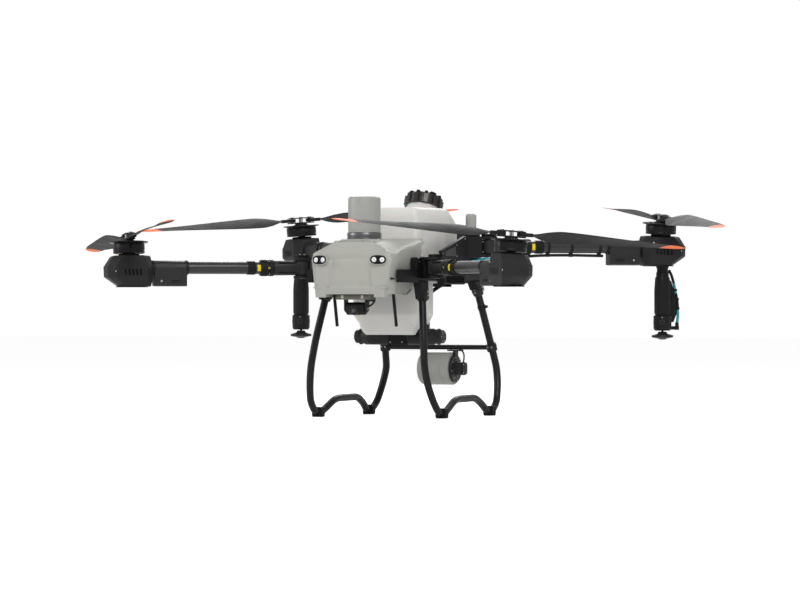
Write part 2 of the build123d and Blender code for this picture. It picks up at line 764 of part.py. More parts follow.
# ---------------------------------------------------------------- pump and hoses
PUMP_Z = 275
with BuildPart() as pump:
    with BuildSketch(Plane.YZ.offset(-150)):
        with Locations((0, PUMP_Z)):
            Circle(28)
    extrude(amount=300)
    with BuildSketch(Plane.YZ.offset(-166)):
        with Locations((0, PUMP_Z)):
            Circle(23)
    extrude(amount=332)
    slab(-34, 34, -34, 34, 246, 308)
    # hanger behind the tank's lower part, up to the beams
    slab_pair(84, 90, 0, 50, 262, 288)
    slab_pair(84, 90, 32, 50, 262, 446)
    slab(-172, 172, 32, 50, 446, 458)
    slab_pair(160, 172, 32, 50, 458, BEAM_LOW - FIT)
    # outlet elbows
    with BuildSketch(Plane.XZ.offset(-40)):
        with Locations((62, PUMP_Z), (-62, PUMP_Z)):
            Circle(9)
    extrude(amount=40)
    with BuildSketch(Plane.XY.offset(PUMP_Z - 9)):
        with Locations((62, 40), (-62, 40)):
            Circle(9)
    extrude(amount=34)
write(pump, "pump_unit")

HOSE_R = 6.5
with BuildPart() as hoses:
    for sign in (1, -1):
        hose_points = [
            (sign * 62, 40, 300.1), (sign * 62, 41, 330), (sign * 64, 50, 375), (sign * 84, 62, 425),
            (sign * 112, 62, 443), (sign * 134, 62, 455), (sign * 143, 64, 480), (sign * 143, 90, 505),
            (sign * 143, 150, 515), (sign * 143, 176, 536),
        ]
        with BuildLine() as route:
            FilletPolyline(*hose_points, radius=bend_radii(hose_points))
        with BuildSketch(Plane(origin=route.line @ 0, z_dir=route.line % 0)):
            Circle(HOSE_R)
        sweep(path=route.line)
write(hoses, "spray_hoses")

with BuildPart() as fasteners:
    with BuildSketch(Plane.XZ.offset(376)):
        with Locations((37, 413), (-37, 413)):
            Circle(5)
    extrude(amount=3)
    with BuildSketch(Plane.XY.offset(FRONT_HINGE[2] + EAR_OUT + 9)):
        with Locations(*[(s * (FRONT_HINGE[0] + x), -FRONT_HINGE[1]) for s in (1, -1) for x in (-8, 8)]):
            RegularPolygon(4, 6)
    extrude(amount=3)
    with BuildSketch(Plane.XY.offset(REAR_HINGE[2] + EAR_OUT + 9)):
        with Locations(*[(s * (REAR_HINGE[0] + x), REAR_HINGE[1]) for s in (1, -1) for x in (-8, 8)]):
            RegularPolygon(4, 6)
    extrude(amount=3)
write(fasteners, "frame_fasteners")
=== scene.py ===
import json
from math import cos, hypot, pi, radians, sin

import bpy
from mathutils import Matrix, Vector


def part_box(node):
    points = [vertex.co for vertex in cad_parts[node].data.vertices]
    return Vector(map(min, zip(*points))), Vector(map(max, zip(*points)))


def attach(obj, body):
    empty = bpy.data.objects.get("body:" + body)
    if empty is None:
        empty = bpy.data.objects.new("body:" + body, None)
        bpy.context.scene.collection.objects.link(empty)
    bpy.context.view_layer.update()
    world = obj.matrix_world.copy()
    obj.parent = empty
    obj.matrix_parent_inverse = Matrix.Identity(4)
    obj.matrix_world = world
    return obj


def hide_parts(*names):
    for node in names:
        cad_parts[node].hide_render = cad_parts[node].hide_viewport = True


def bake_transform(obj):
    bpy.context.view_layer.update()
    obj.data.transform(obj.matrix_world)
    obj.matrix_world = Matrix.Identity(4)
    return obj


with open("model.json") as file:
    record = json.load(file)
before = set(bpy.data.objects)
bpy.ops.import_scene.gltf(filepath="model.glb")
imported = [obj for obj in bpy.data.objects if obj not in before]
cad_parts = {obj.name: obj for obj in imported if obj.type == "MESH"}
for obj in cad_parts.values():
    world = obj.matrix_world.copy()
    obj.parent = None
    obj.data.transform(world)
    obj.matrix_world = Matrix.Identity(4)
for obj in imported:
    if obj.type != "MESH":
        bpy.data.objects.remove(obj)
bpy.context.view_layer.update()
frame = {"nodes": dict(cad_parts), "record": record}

MM = 0.001
JOINTS = {j["name"]: j for j in frame["record"]["behaviour"]["joints"]}
CORNERS = ("front_left", "front_right", "rear_left", "rear_right")
GROUND = Matrix.Identity(4)
UPSIDE_DOWN = Matrix.Rotation(pi, 4, "X")

# Places that several pieces share, in millimetres
BEAM_FACE = 186
TOWER_X = 172.5
RADAR_Y = -284
GIMBAL_Y, GIMBAL_Z = -345, 372
PUMP_Z = 275
CROSSBAR_Y, CROSSBAR_Z = 316, 236
REAR_RADAR_Z = 161
HOSE_RADIUS = 5


# ---------------------------------------------------------------- materials
def surface(name, colour, roughness, grain=700, bump=0.1, mottle=0.08, metallic=0.0, **sockets):
    """Moulded or cast surface: fine grain in the bump, slow drifts of colour and roughness."""
    mat = bpy.data.materials.new(name)
    mat.use_nodes = True
    nodes, links = mat.node_tree.nodes, mat.node_tree.links
    shader = nodes["Principled BSDF"]
    shader.inputs["Metallic"].default_value = metallic
    for socket, value in sockets.items():
        shader.inputs[socket.replace("_", " ")].default_value = value
    where = nodes.new("ShaderNodeTexCoord")
    drift = nodes.new("ShaderNodeTexNoise")
    drift.inputs["Scale"].default_value = 14
    drift.inputs["Detail"].default_value = 7
    drift.inputs["Roughness"].default_value = 0.65
    links.new(where.outputs["Object"], drift.inputs["Vector"])
    mix = nodes.new("ShaderNodeMix")
    mix.data_type = "RGBA"
    mix.inputs["A"].default_value = [c * (1 - mottle) for c in colour] + [1]
    mix.inputs["B"].default_value = [min(1, c * (1 + mottle)) for c in colour] + [1]
    links.new(drift.outputs["Fac"], mix.inputs["Factor"])
    links.new(mix.outputs["Result"], shader.inputs["Base Color"])
    gloss = nodes.new("ShaderNodeMapRange")
    gloss.inputs["From Min"].default_value = 0.3
    gloss.inputs["From Max"].default_value = 0.7
    gloss.inputs["To Min"].default_value = max(0.03, roughness - 0.07)
    gloss.inputs["To Max"].default_value = min(1, roughness + 0.07)
    links.new(drift.outputs["Fac"], gloss.inputs["Value"])
    links.new(gloss.outputs["Result"], shader.inputs["Roughness"])
    fine = nodes.new("ShaderNodeTexNoise")
    fine.inputs["Scale"].default_value = grain
    fine.inputs["Detail"].default_value = 3
    links.new(where.outputs["Object"], fine.inputs["Vector"])
    relief = nodes.new("ShaderNodeBump")
    relief.inputs["Strength"].default_value = bump
    relief.inputs["Distance"].default_value = 0.0006
    links.new(fine.outputs["Fac"], relief.inputs["Height"])
    links.new(relief.outputs["Normal"], shader.inputs["Normal"])
    return mat


def woven(name, colour, roughness):
    """Carbon cloth under clear lacquer: two crossed bands of threads."""
    mat = surface(name, colour, roughness, grain=1500, bump=0.05, mottle=0.15, Coat_Weight=0.35)
    mat.node_tree.nodes["Principled BSDF"].inputs["Coat Roughness"].default_value = 0.2
    nodes, links = mat.node_tree.nodes, mat.node_tree.links
    weave = nodes.new("ShaderNodeTexChecker")
    weave.inputs["Scale"].default_value = 420
    weave.inputs["Color1"].default_value = (0.75, 0.75, 0.75, 1)
    weave.inputs["Color2"].default_value = (1.25, 1.25, 1.25, 1)
    where = next(n for n in nodes if n.type == "TEX_COORD")
    links.new(where.outputs["Object"], weave.inputs["Vector"])
    mix = next(n for n in nodes if n.type == "MIX")
    times = nodes.new("ShaderNodeMix")
    times.data_type = "RGBA"
    times.blend_type = "MULTIPLY"
    times.inputs["Factor"].default_value = 1
    links.new(mix.outputs["Result"], times.inputs["A"])
    links.new(weave.outputs["Color"], times.inputs["B"])
    links.new(times.outputs["Result"], nodes["Principled BSDF"].inputs["Base Color"])
    return mat


MAT = {
    "carbon": woven("carbon_tube", (0.010, 0.010, 0.011), 0.36),
    "leg": surface("leg_lacquer", (0.008, 0.008, 0.009), 0.34, grain=900, bump=0.06, Specular_IOR_Level=0.28),
    "black": surface("black_nylon", (0.009, 0.009, 0.010), 0.48, grain=1100, bump=0.14,
                     Specular_IOR_Level=0.2),
    "soft_black": surface("black_texture", (0.012, 0.012, 0.013), 0.62, grain=800, bump=0.25,
                          Specular_IOR_Level=0.16),
    "nacelle": surface("nacelle_nylon", (0.016, 0.016, 0.017), 0.52, grain=620, bump=0.5, mottle=0.2,
                       Specular_IOR_Level=0.24),
    "casting": surface("dark_casting", (0.026, 0.026, 0.027), 0.42, grain=1300, bump=0.2, metallic=0.2,
                       Specular_IOR_Level=0.25),
    "bracket": surface("grey_bracket", (0.085, 0.085, 0.08), 0.36, grain=1500, bump=0.1, metallic=0.4,
                       Specular_IOR_Level=0.3),
    "housing": surface("housing_grey", (0.40, 0.40, 0.365), 0.42, grain=1400, bump=0.05, mottle=0.03),
    "radar": surface("radar_grey", (0.345, 0.345, 0.325), 0.4, grain=1300, bump=0.06, mottle=0.03),
    "ring": surface("radar_ring_metal", (0.17, 0.17, 0.175), 0.3, grain=1800, bump=0.05, metallic=0.85),
    "motor": surface("motor_anodised", (0.016, 0.016, 0.018), 0.3, grain=1600, bump=0.06, metallic=0.6,
                     Specular_IOR_Level=0.3),
    "copper": surface("copper_enamel", (0.42, 0.17, 0.07), 0.32, grain=2200, bump=0.3, metallic=0.9),
    "steel": surface("zinc_steel", (0.62, 0.62, 0.6), 0.28, grain=2000, bump=0.08, metallic=1.0),
    "olive": surface("olive_anodised", (0.15, 0.145, 0.12), 0.36, grain=1700, bump=0.07, metallic=0.6),
    "blade": surface("blade_composite", (0.016, 0.016, 0.017), 0.55, grain=1500, bump=0.06, mottle=0.2,
                     Specular_IOR_Level=0.14),
    "orange": surface("tip_orange", (0.93, 0.17, 0.035), 0.5, grain=900, bump=0.05, mottle=0.05,
                      Specular_IOR_Level=0.2),
    "yellow": surface("marker_yellow", (0.80, 0.62, 0.02), 0.5, grain=900, bump=0.06, Specular_IOR_Level=0.2),
    "rubber": surface("foot_rubber", (0.011, 0.011, 0.011), 0.7, grain=500, bump=0.35,
                      Specular_IOR_Level=0.2),
    "teal": surface("teal_hose", (0.02, 0.33, 0.41), 0.36, grain=1000, bump=0.05),
    "tank": surface("tank_polyethylene", (0.735, 0.725, 0.695), 0.36, grain=260, bump=0.05, mottle=0.03,
                    Subsurface_Weight=0.25, Subsurface_Scale=0.012),
    "cap": surface("cap_nylon", (0.018, 0.015, 0.014), 0.34, grain=1000, bump=0.2),
    "glass": surface("lens_glass", (0.02, 0.022, 0.028), 0.05, grain=50, bump=0.0, Coat_Weight=1.0),
    "led": surface("lamp_white", (0.86, 0.87, 0.88), 0.18, grain=600, bump=0.1, Coat_Weight=0.8),
}


# ---------------------------------------------------------------- mesh building
def place_at(origin, x, z):
    """A frame with its z along z and its x as near to x as that allows."""
    z = Vector(z).normalized()
    x = Vector(x)
    x = (x - z * x.dot(z)).normalized()
    made = Matrix((x, z.cross(x), z)).transposed().to_4x4()
    made.translation = origin
    return made


def shifted(place, x=0, y=0, z=0):
    return place @ Matrix.Translation(Vector((x, y, z)) * MM)


def turned(place, degrees_, axis="Z"):
    return place @ Matrix.Rotation(radians(degrees_), 4, axis)


def superellipse(half_x, half_y, power, count, x=0, y=0):
    """Points of a rounded rectangle about x, y, given by its half sizes."""
    points = []
    for i in range(count):
        a = 2 * pi * i / count
        c, s = cos(a), sin(a)
        points.append((
            x + half_x * (1 if c > 0 else -1) * abs(c) ** (2 / power),
            y + half_y * (1 if s > 0 else -1) * abs(s) ** (2 / power),
        ))
    return points


BEVEL_ANGLE = radians(32)


class Shape:
    """A piece under construction: solids in millimetres, each in its own frame and material."""

    def __init__(self, place=GROUND):
        self.place = place
        self.verts, self.faces, self.marks, self.materials = [], [], [], []

    def add(self, verts, faces, material, place=None):
        place = self.place if place is None else place
        first = len(self.verts)
        self.verts += [place @ (Vector(v) * MM) for v in verts]
        self.faces += [[first + i for i in f] for f in faces]
        if material not in self.materials:
            self.materials.append(material)
        self.marks += [self.materials.index(material)] * len(faces)

    def loft(self, rings, material, place=None, caps=True, around=True):
        """Quads between rings of equal count; caps close the first and last."""
        n = len(rings[0])
        verts = [v for ring in rings for v in ring]
        faces = []
        for k in range(len(rings) - 1):
            for i in range(n if around else n - 1):
                j = (i + 1) % n
                faces.append([k * n + i, k * n + j, (k + 1) * n + j, (k + 1) * n + i])
        if caps:
            faces.append(list(range(n))[::-1])
            faces.append([(len(rings) - 1) * n + i for i in range(n)])
        self.add(verts, faces, material, place)

    def prism(self, outline, low, high, material, place=None, taper=0):
        """An outline in x, y raised from z low to high; taper draws the top in, in millimetres."""
        middle = [sum(p[i] for p in outline) / len(outline) for i in (0, 1)]
        top = []
        for x, y in outline:
            reach = max(hypot(x - middle[0], y - middle[1]), 0.001)
            k = 1 - taper / reach
            top.append((middle[0] + (x - middle[0]) * k, middle[1] + (y - middle[1]) * k, high))
        self.loft([[(x, y, low) for x, y in outline], top], material, place)

    def block(self, low, high, material, place=None):
        (x0, y0, z0), (x1, y1, z1) = low, high
        self.prism([(x0, y0), (x1, y0), (x1, y1), (x0, y1)], z0, z1, material, place)

    def lathe(self, profile, material, place=None, count=56):
        """Radius and height pairs turned about z; ends at radius 0 close the solid."""
        rings = []
        for r, z in profile:
            rings.append([(max(r, 0.02) * cos(2 * pi * i / count), max(r, 0.02) * sin(2 * pi * i / count), z)
                          for i in range(count)])
        closed = profile[0] == profile[-1]
        self.loft(rings, material, place, caps=not closed)

    def tube(self, inner, outer, low, high, material, place=None, count=56):
        """A plain ring between two radii, from z low to high."""
        profile = [(inner, low), (outer, low), (outer, high), (inner, high), (inner, low)]
        self.lathe(profile, material, place, count)

    def rod(self, radius, low, high, material, place=None, count=56):
        """A plain cylinder from z low to high."""
        profile = [(0, low), (radius, low), (radius, high), (0, high)]
        self.lathe(profile, material, place, count)

    def screw(self, radius, place, material="steel", height=3.0):
        """A socket-head screw standing on the frame's z = 0."""
        self.lathe([(0.42 * radius, height - 1.6), (0.5 * radius, height - 1.5), (0.5 * radius, height),
                    (0.85 * radius, height), (radius, height - 0.5), (radius, -0.5), (0, -0.5)],
                   material, place, 18)

    def sweep(self, points, radius, material, place=None, count=14, steps=8):
        """A round bar along a smooth curve through the points."""
        path = smooth_path([Vector(p) for p in points], steps)
        way = (path[1] - path[0]).normalized()
        side = way.orthogonal().normalized()
        rings = []
        for k, here in enumerate(path):
            after = path[min(k + 1, len(path) - 1)] - path[max(k - 1, 0)]
            after.normalize()
            side = (side - after * side.dot(after)).normalized()
            up = after.cross(side)
            rings.append([here + (side * cos(2 * pi * i / count) + up * sin(2 * pi * i / count)) * radius
                          for i in range(count)])
        self.loft(rings, material, place)

    def build(self, name, body, replaces=(), bevel=0.0, segments=2, sharp=38, solid=0.0):
        """The finished piece; bevel and solid are widths in millimetres, and sharp is in degrees."""
        mesh = bpy.data.meshes.new(name)
        mesh.from_pydata(self.verts, [], self.faces)
        for material in self.materials:
            mesh.materials.append(MAT[material])
        mesh.polygons.foreach_set("material_index", self.marks)
        mesh.polygons.foreach_set("use_smooth", [True] * len(self.faces))
        mesh.validate()
        mesh.set_sharp_from_angle(angle=radians(sharp))
        piece = bpy.data.objects.new(name, mesh)
        bpy.context.scene.collection.objects.link(piece)
        if solid:
            wall = piece.modifiers.new("wall", "SOLIDIFY")
            wall.thickness = solid * MM
            wall.offset = -1
        if bevel:
            edge = piece.modifiers.new("edge", "BEVEL")
            edge.width = bevel * MM
            edge.segments = segments
            edge.limit_method = "ANGLE"
            edge.angle_limit = BEVEL_ANGLE
        if body:
            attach(piece, body)
        if replaces:
            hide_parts(*replaces)
        return piece


def smooth_path(points, steps):
    """A Catmull-Rom curve through the points, with steps pieces to each run."""
    if len(points) < 3:
        return points
    made = []
    padded = [points[0] * 2 - points[1]] + points + [points[-1] * 2 - points[-2]]
    for a, b, c, d in zip(padded, padded[1:], padded[2:], padded[3:]):
        for i in range(steps):
            t = i / steps
            made.append(0.5 * (2 * b + (c - a) * t + (2 * a - 5 * b + 4 * c - d) * t * t
                               + (3 * b - a - 3 * c + d) * t ** 3))
    return made + [points[-1]]


def along(place, x=0, y=0, z=0):
    """A frame whose z runs out along place's x and whose x is place's y."""
    moved = shifted(place, x, y, z)
    return place_at(moved.translation, moved.col[1].xyz, moved.col[0].xyz)


def facing(point, way, across=(0, 0, 1)):
    """A frame at a point in millimetres, its z along way."""
    return place_at(Vector(point) * MM, across, way)


def arm_place(corner):
    """The arm's frame at its hinge, with x out along the tube, and its length in millimetres."""
    hinge = Vector(JOINTS[corner + "_arm_fold"]["pos_m"])
    run = Vector(JOINTS[corner + "_rotor_spin"]["pos_m"]) - hinge
    run.z = 0
    return place_at(hinge, run, (0, 0, 1)), run.length / MM


def rotor_place(corner):
    joint = JOINTS[corner + "_rotor_spin"]
    arm, _ = arm_place(corner)
    return place_at(Vector(joint["pos_m"]), arm.col[0].xyz, joint["axis"])


# ---------------------------------------------------------------- propeller blades
BLADE_MID = 65.8
BLADE_PIN = 34
BLADE_TIP = 635
TIP_START = 548


def ease(t):
    t = max(0.0, min(1.0, t))
    return t * t * (3 - 2 * t)


def blade_chord(r):
    """Narrow at the root, widest near a quarter of the way out, then tapering to the tip."""
    rise = 26 + 64 * ease((r - 62) / 110)
    fall = 1 - 0.52 * max(0.0, (r - 210) / 425) ** 1.25
    tip = 1 - 0.62 * max(0.0, (r - 585) / 50) ** 2.4
    return rise * fall * tip


def blade_pitch(r):
    return radians(23 * ease((r - 58) / 60) * (1 - 0.62 * ease((r - 120) / 520)))


def airfoil(chord, thickness, count=13):
    """A closed cambered section, its leading edge at +chord/2 and its thickness as in a four-digit wing."""
    upper, lower = [], []
    for i in range(count):
        t = (1 - cos(pi * i / (count - 1))) / 2
        x = chord * (0.5 - t)
        half = thickness * (1.48 * t ** 0.5 - 0.63 * t - 1.76 * t ** 2 + 1.42 * t ** 3 - 0.51 * t ** 4)
        camber = 0.035 * chord * (1 - (2 * t - 0.9) ** 2)
        upper.append((x, camber + half))
        lower.append((x, camber - half))
    return upper + lower[-2:0:-1]


def make_blade(corner, name, way):
    """A twisted blade: x out along the span, the leading edge high on the side it moves to."""
    rotor = rotor_place(corner)
    spin = 1 if corner in ("front_right", "rear_left") else -1
    place = place_at((rotor @ Matrix.Translation((0, 0, BLADE_MID * MM))).translation,
                     rotor.col[1].xyz * way, rotor.col[2].xyz)
    blade = Shape(place)
    rings = []
    stations = [58 + (BLADE_TIP - 58) * (k / 46) for k in range(47)] + [BLADE_TIP + 0.8]
    for r in stations:
        chord = blade_chord(min(r, BLADE_TIP))
        thick = 5.6 - 4.4 * ease((r - 62) / 520)
        if r > BLADE_TIP:
            chord, thick = chord * 0.7, thick * 0.3
        pitch = blade_pitch(r)
        skew = 0.32 * ease((r - 430) / 100) * (1 - ease((r - 590) / 45))
        sweep_back = -14 * ease((r - 460) / 175)
        ring = []
        for x, z in airfoil(chord, thick):
            a, b = x * cos(pitch) - z * sin(pitch), x * sin(pitch) + z * cos(pitch)
            ring.append((min(r + skew * x, BLADE_TIP), (a + sweep_back) * spin, b))
        rings.append(ring if spin > 0 else ring[::-1])
    change = next(k for k, r in enumerate(stations) if r >= TIP_START)
    blade.loft(rings[:change + 1], "blade")
    blade.loft(rings[change:], "orange")
    # the flat root with its pin eye
    turns = [pi / 2 + pi * i / 12 for i in range(13)]
    eye = [(BLADE_PIN + 13.5 * cos(a), 13.5 * sin(a)) for a in turns]
    blade.prism([(64, 12.5)] + eye + [(64, -12.5), (74, -9), (74, 9)], -5.9, 5.9, "blade")
    blade.tube(5.2, 9, -6.1, 6.1, "steel", shifted(place, BLADE_PIN), 24)
    blade.build(corner + "_blade_" + name + "_skin", corner + "_blade_" + name,
                replaces=(corner + "_blade_" + name,), bevel=0.5, segments=1,
                sharp=50)


# ---------------------------------------------------------------- motors
def make_motor(corner):
    place = rotor_place(corner)
    stator = Shape(place)
    stator.lathe([(0, 0.1), (34, 0.1), (36, 3), (34, 6), (12, 7), (12, 34), (0, 34)], "casting")
    for i in range(12):
        tooth = turned(place, 30 * i)
        stator.block((12, -2.6, 12), (45, 2.6, 32), "casting", tooth)
        for k in range(7):
            x = 20 + 3.4 * k
            stator.prism([(x, -6.2), (x + 3, -6.2), (x + 3, 6.2), (x, 6.2)], 8.6, 35, "copper", tooth,
                         taper=0.8)
    stator.tube(46.5, 48, 10, 36, "copper", count=72)
    stator.lathe([(6, 34), (6, 46.8), (0, 46.8)], "steel", count=24)
    stator.build(corner + "_windings", corner + "_arm", (corner + "_stator",), bevel=0.4,
                 segments=1)

    bell = Shape(place)
    bell.lathe([(6.2, 39.2), (49, 39.2), (49, 8.1), (52.6, 8.1), (53.4, 9), (53.4, 15), (52.7, 15.7),
                (52.7, 17), (53.4, 17.7), (53.4, 37), (52.2, 38.6), (52.2, 40), (57, 42.6), (64.2, 43.4),
                (65, 44.2), (65, 46.6), (64, 47.6), (58, 47.8), (57.2, 46.6), (33, 46.6), (32, 47.9),
                (6.2, 47.9), (6.2, 39.2)], "motor", count=96)
    for i in range(16):
        spoke = turned(place, 22.5 * i)
        bell.prism([(35, -1.4), (56, -2.6), (56, 2.6), (35, 1.4)], 46.2, 47.9, "motor", spoke)
    for i in range(8):
        bell.screw(2.4, shifted(turned(place, 45 * i + 22.5), 61, 0, 46.6), height=1.3)
    # painted shade: flush black patches round the wall stand for the slots, dark as the shade inside them
    slots = 28
    for i in range(slots):
        bell.block((52.9, -1.5, 20), (53.5, 1.5, 34), "black", turned(place, 360 / slots * i))
    bell.build(corner + "_bell_detail", corner + "_rotor", (corner + "_motor_bell",),
               bevel=0.35, segments=1)

    clamp = Shape(place)
    low, high = BLADE_MID - 6.8, BLADE_MID + 6.8
    clamp.prism(superellipse(15, 20, 5, 32), 48, low, "casting")
    clamp.prism(superellipse(19, 25, 5, 32), 48, 50.6, "motor")
    plate = superellipse(17, 51, 3.2, 56)
    clamp.prism(plate, low - 4, low, "casting")
    clamp.prism(plate, high, high + 3.2, "casting", taper=0.8)
    clamp.prism(superellipse(10, 44, 4, 40), high + 3, high + 4, "motor")
    for side in (1, -1):
        clamp.rod(5, low, high, "steel", shifted(place, 0, BLADE_PIN * side), 24)
        clamp.rod(3.9, low, high, "steel", shifted(place, 9 * side), 20)
        clamp.screw(6.6, shifted(place, 0, BLADE_PIN * side, high + 4), height=3.2)
        clamp.screw(3.2, shifted(place, 9 * side, 0, high + 4), height=2.6)
    clamp.build(corner + "_clamp_detail", corner + "_rotor", (corner + "_prop_clamp",),
                bevel=0.7)


# ---------------------------------------------------------------- arms, sleeves and nacelles
NACELLE_BACK = 77
SLEEVE_LENGTH = 126
SLEEVE_GAP = 1


def faceted(out, back, half, cut, z):
    """A ring with cut corners, its sides at out, -back and half to each side."""
    return [(cut - back, -half, z), (out - cut, -half, z), (out, cut - half, z), (out, half - cut, z),
            (out - cut, half, z), (cut - back, half, z), (-back, half - cut, z), (-back, cut - half, z)]


def make_nacelle(corner):
    arm, length = arm_place(corner)
    rotor = rotor_place(corner)
    place = shifted(arm, length)
    lean = (rotor.col[2].xyz.dot(arm.col[1].xyz)) / rotor.col[2].xyz.z
    shell = Shape(place)

    def top_ring(out, back, half, cut, z):
        """A ring parallel to the canted motor's foot."""
        return [(x, y, z - y * lean) for x, y, _ in faceted(out, back, half, cut, 0)]

    shell.loft([faceted(32, 68, 36, 14, -64), faceted(36, 71, 40, 15, -62.5),
                faceted(77, 76.5, 52.5, 23, -34), faceted(80, 77, 54, 24, -31), faceted(81.5, 77, 54, 24, 1),
                faceted(80.5, 76.5, 53, 24, 5)], "nacelle")
    shell.loft([faceted(79.5, 76, 52.5, 24, 5), top_ring(62, 69, 50.5, 27, 36),
                top_ring(58, 66, 48.5, 27, 39)], "nacelle")
    shell.loft([faceted(40, 60, 42, 20, -66), faceted(40, 60, 42, 20, -63)], "soft_black")
    shell.lathe([(30, 38.6), (46, 38.6), (47.5, 39.9), (30, 39.9), (30, 38.6)], "motor",
                place_at(place.translation, rotor.col[0].xyz, rotor.col[2].xyz), 64)
    for side in (1, -1):
        # painted shade: flush dark patches on both flanks stand for the cooling louvres, dark as the shade in
        # their openings; and the bolts along the seam
        for k in range(5):
            x = -side * (-30 + 13 * k) - 4
            shell.prism([(x, 0), (x + 8, 0), (x + 5, 22), (x - 3, 22)], 52.8, 54, "soft_black",
                        shifted(facing_side(place, side), 0, -26))
        for x in (-46, 56):
            seat = shifted(facing_side(place, side), -side * x, -12, 53.4)
            shell.screw(3.4, seat, height=0.6)
    shell.screw(3.2, shifted(facing_side(place, -1), -44, 16, 52.6), height=1.3)
    shell.build(corner + "_nacelle_shell", corner + "_arm", (corner + "_nacelle",),
                bevel=2.4, segments=3)

    sleeve = Shape(along(arm, length - NACELLE_BACK - SLEEVE_GAP - SLEEVE_LENGTH))
    body = [(-22, -36), (-20, -38), (-19, -60), (-12, -62), (20, -62), (22, -60), (22, -14), (23.5, -6),
            (21.5, 10), (13, 20.5), (0, 24.4), (-13, 20.5), (-21.5, 10), (-23.5, -6), (-22, -14)]
    sleeve.loft([[(x, y, z) for x, y in body] for z in (7, 119)], "casting")
    for z in (0, 116):
        band = ((21.3, 0), (24, 0), (25, 1), (25, 9), (24, 10), (21.3, 10), (21.3, 0))
        sleeve.lathe([(r, z + h) for r, h in band], "black", count=48)
    sleeve.block((-19, -63, 12), (21, -59.5, 114), "olive")
    for side in (1, -1):
        face = side * 22.2
        sleeve.block((min(face, face - side), -48, 30), (max(face, face - side), -42, 62), "soft_black")
        for radius, y, z, finish, height in ((3.6, -45, 96, "steel", 1.4), (2.6, -24, 20, "casting", 1)):
            seat = place_at(shifted(sleeve.place, face, y, z).translation, sleeve.place.col[2].xyz,
                            sleeve.place.col[0].xyz * side)
            sleeve.screw(radius, seat, finish, height)
    sleeve.build(corner + "_sleeve_detail", corner + "_arm", bevel=1.3)


def facing_side(place, side):
    """A frame on a flank: z points out sideways, y up, and x along the arm, inwards on the far side."""
    return place_at(place.translation, place.col[0].xyz * -side, place.col[1].xyz * side)


def make_arm(corner):
    arm, length = arm_place(corner)
    tube = Shape(along(arm))
    tube.tube(19, 21, 96, length - 25, "carbon", count=64)
    tube.build(corner + "_tube", corner + "_arm")

    knuckle = Shape(arm)
    knuckle.lathe([(8.2, -25.8), (24, -25.8), (27.6, -22), (27.6, 22), (24, 25.8), (8.2, 25.8), (8.2, -25.8)],
                  "casting", count=48)
    rings = []
    for x, half_y, half_z, power in ((10, 25, 24, 4), (30, 26, 24.5, 4), (62, 26, 25, 3),
                                     (95, 25.4, 25.4, 2.2),
                                     (115, 25.4, 25.4, 2)):
        rings.append([(x, y, z) for y, z in superellipse(half_y, half_z, power, 40)])
    knuckle.loft(rings, "casting")
    for z in (18.5, -18.5):
        knuckle.block((26, -27.4, z - 2), (88, 27.4, z + 2), "black")
    knuckle.lathe([(21.4, 104), (27.5, 104), (28, 105), (28, 118), (27, 119.5), (21.4, 119.5), (21.4, 104)],
                  "black", along(arm), 48)
    for i in range(6):
        seat = shifted(along(arm), 24.4 * cos(i * pi / 3), 24.4 * sin(i * pi / 3), 119.4)
        knuckle.screw(2.6, seat, height=1.6)
    knuckle.build(corner + "_knuckle", corner + "_arm", (corner + "_arm",), bevel=0.9)

    collar = Shape(along(arm))
    collar.lathe([(21.2, 122.4), (26, 122.4), (27, 123.4), (27, 149), (26, 150), (21.2, 150), (21.2, 122.4)],
                 "black", count=60)
    for i in range(24):
        collar.block((26, -1.8, 127), (28, 1.8, 146), "black", turned(along(arm), 15 * i))
    for i in range(4):
        collar.block((26.8, -4, 123.6), (27.6, 4, 126.4), "yellow", turned(along(arm), 90 * i))
    collar.build(corner + "_collar_detail", corner + "_lock_collar", (corner + "_lock_collar",),
                 bevel=0.5, segments=1)

    band = Shape(along(arm))
    for start in (60, 240):
        arc = [radians(start + 6 * i) for i in range(11)]
        outside = [(21.9 * sin(a), 21.9 * cos(a)) for a in arc]
        inside = [(21.05 * sin(a), 21.05 * cos(a)) for a in arc[::-1]]
        band.prism(outside + inside, 152, 163, "yellow")
    band.build(corner + "_marker_band", corner + "_arm")
    grip = Shape(along(arm))
    grip.tube(21.05, 22.6, 168, 196, "soft_black", count=60)
    for i in range(5):
        z = 171 + 5.2 * i
        grip.lathe([(22.4, z), (23.4, z + 0.6), (23.4, z + 2), (22.4, z + 2.6), (22.4, z)], "soft_black",
                   count=60)
    grip.build(corner + "_arm_grip", corner + "_arm")


for corner_name in CORNERS:
    make_arm(corner_name)
    make_nacelle(corner_name)
    make_motor(corner_name)
    make_blade(corner_name, "a", 1)
    make_blade(corner_name, "b", -1)


# ---------------------------------------------------------------- front housing
def blend_over(table, z):
    """Linear reading of a short table of heights and values."""
    for (z0, v0), (z1, v1) in zip(table, table[1:]):
        if z <= z1:
            return v0 + (v1 - v0) * max(0.0, (z - z0) / (z1 - z0))
    return table[-1][1]


HOUSING_FRONT = ((421, -394), (455, -403), (500, -401), (529, -398.5), (560, -388), (599, -366))
HOUSING_REAR = ((421, -235), (455, -166), (552, -164), (599, -126))


def flank(z):
    """Half the housing's width at a height."""
    return 152.6 - 16 * max(0, 529 - z) / 108


def roof(x, y):
    """The roof's height: a ridge under the radar that falls away to the front corners."""
    ridge = 599.5 + 5 * ease((y + 366) / 120) + 5 * ease((y + 200) / 60)
    slope = 555.5 + (153 - abs(x)) * 0.473 + (y + 366) * 0.233
    gap = ridge - slope
    if gap < -12:
        return ridge
    if gap > 12:
        return slope
    return ridge - (gap + 12) ** 2 / 48


